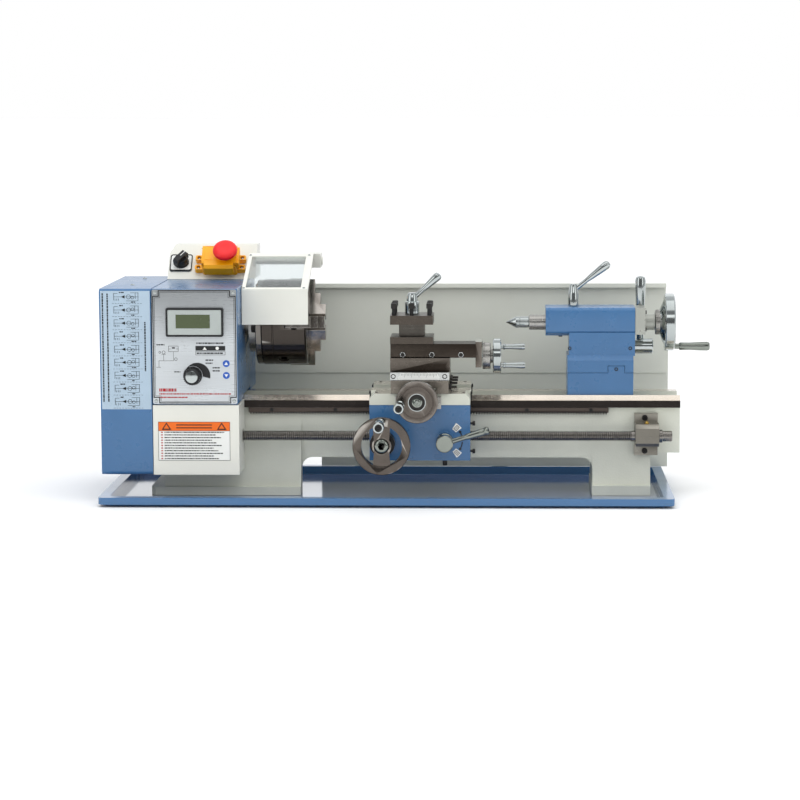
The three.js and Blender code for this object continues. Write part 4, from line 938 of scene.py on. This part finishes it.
def build_half_nut_lever():
    hub = (83.3, 87)
    arm = [(0, 4.4), (0.3, 3.8), (0.48, 3.8), (0.5, 4.3), (0.56, 4.6), (0.75, 5.1), (0.88, 5.3), (0.9, 4.7),
        (0.92, 5.6), (0.96, 6), (0.99, 5), (1.005, 3), (1.01, 0)]
    lever = join(turned("y", hub, [(-146.3, 0), (-146.3, 11.4), (-145.6, 12.3), (-141, 12.3), (-140, 11.4),
                (-124, 11.4), (-123, 12.3), (-110.6, 12.3), (-110.6, 6.6), (-96, 6.6), (-95.8, 11), (-89.6, 11),
                (-89.6, 0)], 72), grip((83.3, -139, 87), (146.6, -143, 107), arm))
    put("half_nut_lever_shown", lever, "grey_chrome", None, "half_nut_lever", 0.2)
    face = turned("y", hub, [(-146.5, 0), (-146.5, 10.6), (-146.2, 11), (-146.2, 0)], 64)
    detail("half_nut_lever_face", face, "grey_chrome", "half_nut_lever")

    def turn(degrees, radius):
        a = radians(degrees)
        return hub[0] + radius * cos(a), hub[1] + radius * sin(a)

    def arc(a, b, inner, outer):
        steps = [(b - a) * i / 12 for i in range(13)]
        return [turn(a + t, outer) for t in steps] + [turn(b - t, inner) for t in steps]

    # Two small plates beside the lever, with a curved double arrow between them.
    plates = [prism("y", arc(a, b, 19.5, 30), -105.3, -104.9) for a, b in ((-56, -36), (37, 58))]
    detail("half_nut_plates", plates, "paper", "carriage")
    parts = [prism("y", arc(a, b, 24.2, 25.8), -105.35, -104.9) for a, b in ((-27, -4), (12, 28))]
    for a, way in ((-27, -1), (28, 1)):
        parts.append(prism("y", [turn(a, 22.4), turn(a, 27.6), turn(a + 8 * way, 25)], -105.35, -104.9))
    for a in (-46, 47.5):
        middle = turn(a, 24.7)
        spin_by = Matrix.Translation((middle[0], 0, middle[1])) @ Matrix.Rotation(radians(-a), 4, "Y")
        for mark in strokes(-105.3, frame_lines(-3.6, 3.6, -2.6, 2.6, 0.8) + [(-1.8, 1.8, -0.4, 0.4)], 0.15):
            mark.transform(spin_by)
            parts.append(mark)
    detail("half_nut_plate_print", parts, "ink", "carriage")


def build_cross_wheel():
    centre = (45, 149.4)
    wheel = turned("y", centre, [(-163.6, 0), (-163.6, 11.8), (-167.4, 12), (-168, 12.6), (-168, 22),
            (-167.6, 22.4), (-167.6, 23.2), (-168, 23.6), (-168, 29.2), (-167.2, 30), (-157.4, 30), (-156, 28.6),
            (-156, 12), (-155, 8.5), (-141, 8.5), (-140.6, 13.5), (-117.6, 13.5), (-117.6, 3), (51, 3), (52, 2.2),
            (52, 0)], 128)
    put("cross_wheel_shown", wheel, turned_finish("y", centre, "wheel"), None, "cross_handwheel", 0)
    rim = turned("y", centre, [(-167.5, 12.5), (-168.4, 12.6), (-168.4, 11.6), (-167.5, 11.5), (-167.5, 12.5)], 72)
    detail("cross_wheel_rim", rim, turned_finish("y", centre, "chrome"), "cross_handwheel")
    # Painted shade: a thin black disc on the floor of the wheel's hollow stands in for the shade there.
    floor = rod("y", centre, -164, -163.5, 11.5, 64)
    detail("cross_wheel_recess_painted_shade", floor, "black_steel", "cross_handwheel")
    stud = cut(turned("y", centre, [(-163.8, 0), (-163.8, 7.6), (-164.6, 7.4), (-165, 5.4), (-166.2, 5),
                (-167, 3.8), (-167.3, 2.6), (-167.3, 0)], 48), prism("y", circle(centre, 2.6, 6), -170, -165))
    detail("cross_wheel_stud", stud, "grey_chrome", "cross_handwheel")
    detail("cross_dial_marks", dial_marks("y", centre, 13.5, -122, (2.4, 4), 50), "ink", "cross_handwheel")
    hand_grip(21, 146.4, -220, -168.4, 7.5, "cross_grip", "cross_handle")


# ---------- slides and tool post ----------
def build_slides():
    carry("cross_slide", "dark_y", 0.7)
    gib = []
    for y in (-80, -30, 10, 45):
        gib += [rod("x", (y, 162), 88, 100, 1.8, 20), nut((88.5, y, 162), (1, 0, 0), 4, 3.4, y)]
    detail("cross_slide_screws", gib, "black_steel", "cross_slide")
    carry("top_slide_base", "dark", 0.6, [("silver", lambda c, n: c.z < 185.2 and c.y < -20)])
    plate = prism("y", [(14.5, 174.6), (77.5, 174.6), (72.5, 184.6), (19.5, 184.6)], -105.45, -104.9)
    detail("swivel_scale", plate, "paper", "top_slide_base")
    marks = []
    for i in range(-12, 13):
        x = 46 + i * 2.1
        marks.append((x - 0.16, x + 0.16, 184 - (5.5 if i % 5 == 0 else 3.2), 184))
    detail("swivel_marks", strokes(-105.4, marks, 0.2), "ink", "top_slide_base")
    screws = [slot_screw((x, -105.1, 179.6), (0, -1, 0), 2.4, 0.9, x) for x in (9, 83)]
    detail("swivel_screws", screws, "silver", "top_slide_base")
    rings = [turned("y", (x, 179.6), [(-105.1, 2.5), (-105.5, 2.6), (-105.5, 3.5), (-105.0, 3.6), (-105.1, 2.5)],
            32) for x in (9, 83)]
    detail("swivel_screw_rings", rings, "black_steel", "top_slide_base")
    carry("top_slide", "dark", 0.6, [("light_steel", lambda c, n: c.x > 127.2)])
    spots = (22, 64, 106)
    nuts = [nut((x, -85, 209), (0, -1, 0), 4.4, 2.2, x) for x in spots]
    put("top_slide_gib_nuts", together(*nuts), "silver", "top_slide", bevel=0.2)
    pins = [turned("y", (x, 209), [(-84.5, 3), (-88, 3), (-88.6, 2.4), (-88.6, 0), (-84.5, 0)], 28) for x in spots]
    detail("top_slide_gib_screws", pins, "black_steel", "top_slide")
    screws = [cap_screw((136, y, z), (1, 0, 0), 2.6, 0.8) for y, z in ((-79, 222), (-44, 222))]
    detail("top_slide_end_screws", screws, "black_steel", "top_slide")
    centre = (-61, 205)
    dial = turned("x", centre, [(137, 4), (137, 18.3), (137.6, 18.9), (147.9, 18.9), (148.6, 18.2), (148.6, 10.2),
            (153, 10), (153, 4), (137, 4)], 96)
    detail("top_slide_dial", dial, turned_finish("x", centre), "top_slide_handwheel")
    detail("top_slide_dial_marks", dial_marks("x", centre, 18.9, 138, (2.6, 4.4), 50), "ink", "top_slide_handwheel")
    wheel = turned("x", centre, [(17, 0), (17.6, 3), (152, 3), (152, 24.2), (153.2, 25.4), (162.8, 25.4),
            (164, 24.2), (164, 9), (162, 7), (162, 0)], 96)
    arm = [(0, 0), (0, 3.2), (0.1, 3.2), (0.12, 4.4), (0.18, 4.6), (0.2, 3.8), (0.4, 3.8), (0.6, 4.2), (0.85, 4.9),
        (0.96, 4.8), (1.0, 4.2), (1.0, 0)]
    arms = [grip((163, y, z), (198.5, y, z), arm) for y, z in ((-76, 193), (-46, 217))]
    put("top_slide_wheel_shown", join(wheel, *arms), turned_finish("x", centre, "chrome"), None,
        "top_slide_handwheel", 0)


def build_tool_post():
    x, y, half = 35, -61, 31

    def square(half_side, heights, corner):
        return prism("z", rounded((x - half_side, x + half_side), (y - half_side, y + half_side), corner), *heights)

    post = join(square(half, (225, 235), 1.2), square(18.5, (234.5, 253.5), 2), square(half, (253, 266), 1.2))
    post = cut(post, rod("z", (x, y), 220, 270, 5.8))
    put("tool_post_shown", post, "dark", None, "tool_post", 0.6,
        [("neck", lambda c, n: 235.1 < c.z < 252.9 and abs(n.z) < 0.3)])
    bolts = []
    for i in (-1, 0, 1):
        for k in (-1, 0, 1):
            if i or k:
                c = (x + 25.5 * i, y + 25.5 * k)
                shank = turned("z", c, [(253.4, 0), (253.4, 2.9), (276, 2.9), (276, 4.3), (282.6, 4.3),
                        (283.5, 3.7)], 32)
                bolts.append(cut(shank, prism("z", circle(c, 2.3, 6, 0.3 * i), 279.5, 285)))
    detail("tool_post_screws", bolts, "black_steel", "tool_post")
    hub = turned("z", (x, y), [(266.4, 0), (266.4, 10.3), (283, 10.3), (284.2, 9.8), (285, 8.4), (293, 7.4),
            (296.4, 5.8), (297, 4.4), (297, 0)], 72)
    arm = grip((x + 2, y, 289), (x + 39.6, y, 322.9),
        [(0, 3.7), (0.3, 3.4), (0.36, 3.5), (0.5, 4.4), (0.8, 5.9), (0.92, 6.2), (0.98, 5.4), (1.01, 3.4),
            (1.02, 0)])
    put("tool_post_lever_shown", join(hub, arm), "chrome", None, "tool_post_lever", 0.15)


# ---------- tailstock ----------
def build_tailstock():
    carry("tailstock_base", "blue", 0.9, [("way", lambda c, n: n.z < -0.3 or c.z < 136)], segments=3)
    carry("tailstock_body", "blue", 1.8, segments=3)
    screws = []
    for x, y, z in ((263.8, -32, 213.2), (352.1, -32, 213.2), (331.5, -40, 183.4)):
        screws.append(cut(rod("y", (x, z), y - 0.3, y + 1, 2.7, 32),
                prism("y", circle((x, z), 1.5, 6), y - 1, y + 0.5)))
    screws.append(cap_screw((251, 0, 230), (0, 0, -1), 3, 2.6))
    detail("tailstock_screws", screws, "black", "tailstock")
    carry("tailstock_end_plate", "light_steel", 0.6)
    bolts = [cap_screw((374, y, z), (1, 0, 0), 3, 2) for y, z in ((-22, 240), (-22, 265), (14, 266))]
    detail("end_plate_screws", bolts, "black_steel", "tailstock")
    centre = SPINDLE
    carry("quill", turned_finish("x", centre), 0.4)
    tip = turned("x", centre, [(170.5, 0), (170.9, 0.35), (185.2, 8.0), (186, 8.3), (190, 8.3), (190.4, 7.6),
            (191.4, 7.6), (191.8, 8.3), (204, 8.3), (204.6, 7.1), (246, 6.6), (246.4, 0)], 96)
    put("dead_centre_shown", tip, turned_finish("x", centre, "chrome"), None, "dead_centre", 0)
    wheel = turned("x", centre, [(389.4, 5), (389.4, 14), (390.2, 15), (395, 15.5), (401, 30), (403, 34.5),
            (403.4, 41), (404.4, 42), (415.6, 42), (417, 40.6), (418, 38), (418, 36.4), (416.4, 35), (408, 33.4),
            (406, 30), (400, 14), (399.6, 9.6), (405.8, 9), (406.6, 8), (406.6, 0), (288.6, 0), (288.6, 5),
            (389.4, 5)], 128)
    windows = []
    for i in range(3):
        slot = prism("x", circle((22.5, 0), 6.2, 28), 385, 412)
        slot.transform(turned_about_spindle(30 + 120 * i))
        windows.append(slot)
    put("tail_wheel_shown", cut(wheel, *windows), turned_finish("x", centre, "chrome"), None, "tailstock_handwheel",
        0.4)
    dial = turned("x", centre, [(389.6, 14), (389.6, 17.4), (390.4, 18), (397, 18), (397.6, 17.4), (397.6, 14),
            (389.6, 14)], 96)
    dial = cut(dial, block((391, 399), (-0.5, 0.5), (17.4, 19)))
    detail("tail_dial", dial, turned_finish("x", centre), "tailstock_handwheel")
    detail("tail_dial_marks", dial_marks("x", centre, 18, 390.6, (4, 6), 40), "ink", "tailstock_handwheel")
    z = 213.2
    handle = turned("x", (0, z), [(418.4, 0), (418.4, 4), (425, 4), (425.4, 5.2), (427, 5.8), (440, 5.6),
            (456, 6.4), (466, 6.6), (469.2, 5.6), (470, 3.6), (470, 0)], 56)
    put("tail_handle_shown", handle, "grey_chrome", None, "tailstock_handle", 0)
    x = 269.8
    lock = join(turned("z", (x, 0), [(262.2, 0), (262.2, 4.8), (273, 4.8), (273, 7.4), (273.8, 8), (290, 8),
                (292, 7.4), (303, 5.6), (305, 4.4), (305, 0)], 64),
        grip((x + 2, 0, 297), (x + 51.6, 0, 335.4),
            [(0, 3.6), (0.3, 3.3), (0.36, 3.4), (0.5, 4.4), (0.8, 5.9), (0.92, 6.3), (0.98, 5.4), (1.01, 3.4),
                (1.02, 0)]))
    put("quill_lock_shown", lock, "chrome", None, "quill_lock_lever", 0.15)
    y, z = 25, 211
    clamp = join(turned("x", (y, z), [(333.6, 0), (333.6, 8), (359.8, 8), (360, 10.6), (360.6, 11.2), (387, 11.2),
                (388, 10.4), (388, 0)], 64), grip((369.5, 27, z), (369.5, 31, 314),
            [(0, 5.5), (0.35, 5), (0.4, 5.1), (0.5, 6.2), (0.8, 7.6), (0.93, 7.9), (0.98, 6.8), (1.0, 4.2),
                (1.005, 0)]))
    put("tail_clamp_shown", clamp, "chrome", None, "tailstock_clamp_lever", 0.15)
    graduations = []
    for i in range(21):
        line = block((208 + i * 1.0, 208.2 + i * 1.0), (-0.2, 0.1), (-0.8, 0.8 if i % 5 else 2.2))
        line.transform(Matrix.Translation((0, -11.3, SPINDLE[1])))
        graduations.append(line)
    detail("quill_marks", graduations, "ink", "quill")


# ---------- stage ----------
def area_light(name, place, target, size, power):
    data = bpy.data.lights.new(name, "AREA")
    data.shape = "RECTANGLE"
    data.size, data.size_y = size
    data.energy = power
    light = bpy.data.objects.new(name, data)
    light.location = place
    light.rotation_euler = (Vector(target) - Vector(place)).to_track_quat("-Z", "Y").to_euler()
    scene.collection.objects.link(light)


def build_stage():
    bm = bmesh.new()
    bmesh.ops.create_grid(bm, x_segments=2, y_segments=2, size=60)
    mesh = bpy.data.meshes.new("floor")
    bm.to_mesh(mesh)
    bm.free()
    floor = bpy.data.objects.new("floor", mesh)
    scene.collection.objects.link(floor)
    n = Nodes("floor")
    tone = n.noise(n.place(), 1.5, 2)
    n.link(n.mix(n.spread(tone, 0, 1), (0.93, 0.93, 0.93, 1), (0.95, 0.95, 0.95, 1)), n.shader.inputs["Base Color"])
    n.shader.inputs["Roughness"].default_value = 0.7
    # Away from the lathe the lamps no longer reach the floor, so it glows a little to stay white.
    far = n.add("VectorMath", operation="LENGTH")
    n.link(n.place(), far.inputs[0])
    n.shader.inputs["Emission Color"].default_value = WHITE
    n.link(n.spread(far.outputs["Value"], 0, 0.15, (0.6, 2.0)), n.shader.inputs["Emission Strength"])
    mesh.materials.append(n.material)
    world = bpy.data.worlds.new("studio")
    scene.world = world
    world.use_nodes = True
    tree = world.node_tree
    tree.nodes.clear()
    out = tree.nodes.new("ShaderNodeOutputWorld")
    path = tree.nodes.new("ShaderNodeLightPath")
    seen, lit, gloss = (tree.nodes.new("ShaderNodeBackground") for _ in range(3))
    seen.inputs[0].default_value, seen.inputs[1].default_value = WHITE, 1.0
    gloss.inputs[0].default_value = (0.96, 0.98, 1, 1)
    lit.inputs[0].default_value = (0.98, 0.99, 1, 1)
    # The sky is brighter overhead, so upright faces are a little darker than flat ones.
    where, parts, height = (tree.nodes.new("ShaderNode" + k) for k in ("TexCoord", "SeparateXYZ", "MapRange"))
    tree.links.new(where.outputs["Generated"], parts.inputs[0])
    tree.links.new(parts.outputs[2], height.inputs[0])
    height.inputs[3].default_value, height.inputs[4].default_value = 0.38, 1.34
    tree.links.new(height.outputs[0], lit.inputs[1])
    # Reflections are brighter from behind the lathe than from the operator's side.
    depth = tree.nodes.new("ShaderNodeMapRange")
    tree.links.new(parts.outputs[1], depth.inputs[0])
    depth.inputs[1].default_value = -1
    depth.inputs[3].default_value, depth.inputs[4].default_value = 0.16, 1.05
    tree.links.new(depth.outputs[0], gloss.inputs[1])
    result = lit.outputs[0]
    for ray, shown in (("Is Glossy Ray", gloss), ("Is Camera Ray", seen)):
        pick = tree.nodes.new("ShaderNodeMixShader")
        tree.links.new(path.outputs[ray], pick.inputs[0])
        tree.links.new(result, pick.inputs[1])
        tree.links.new(shown.outputs[0], pick.inputs[2])
        result = pick.outputs[0]
    tree.links.new(result, out.inputs[0])
    area_light("top", (0.1, -0.5, 2.2), (0.05, 0, 0.15), (2.8, 1.8), 14)
    area_light("left", (-2.0, -1.8, 1.3), (0, 0, 0.2), (1.0, 1.8), 9)
    area_light("right", (2.1, -1.6, 1.2), (0, 0, 0.2), (0.8, 1.6), 6)
    area_light("front", (0.3, -3.6, 2.2), (0, 0, 0.2), (2.2, 0.8), 8)
    area_light("back", (0.2, 2.2, 1.8), (0, 0, 0.2), (2.6, 1.2), 4)
    scene.view_settings.view_transform = "Standard"
    scene.view_settings.exposure = 0.0


def build_camera():
    data = bpy.data.cameras.new("camera")
    data.sensor_width = 36
    data.lens = 114.5
    data.clip_start, data.clip_end = 0.1, 100
    camera = bpy.data.objects.new("camera", data)
    camera.location = (0.1635, -3.7354, 0.5813)
    camera.rotation_euler = (radians(90 - 6.838), radians(0.2), radians(2.261))
    scene.collection.objects.link(camera)
    scene.camera = camera


make_finishes()
build_bed()
build_headstock()
build_switches()
build_guards()
build_spindle()
build_carriage()
build_slides()
build_tool_post()
build_tailstock()
build_stage()
build_camera()
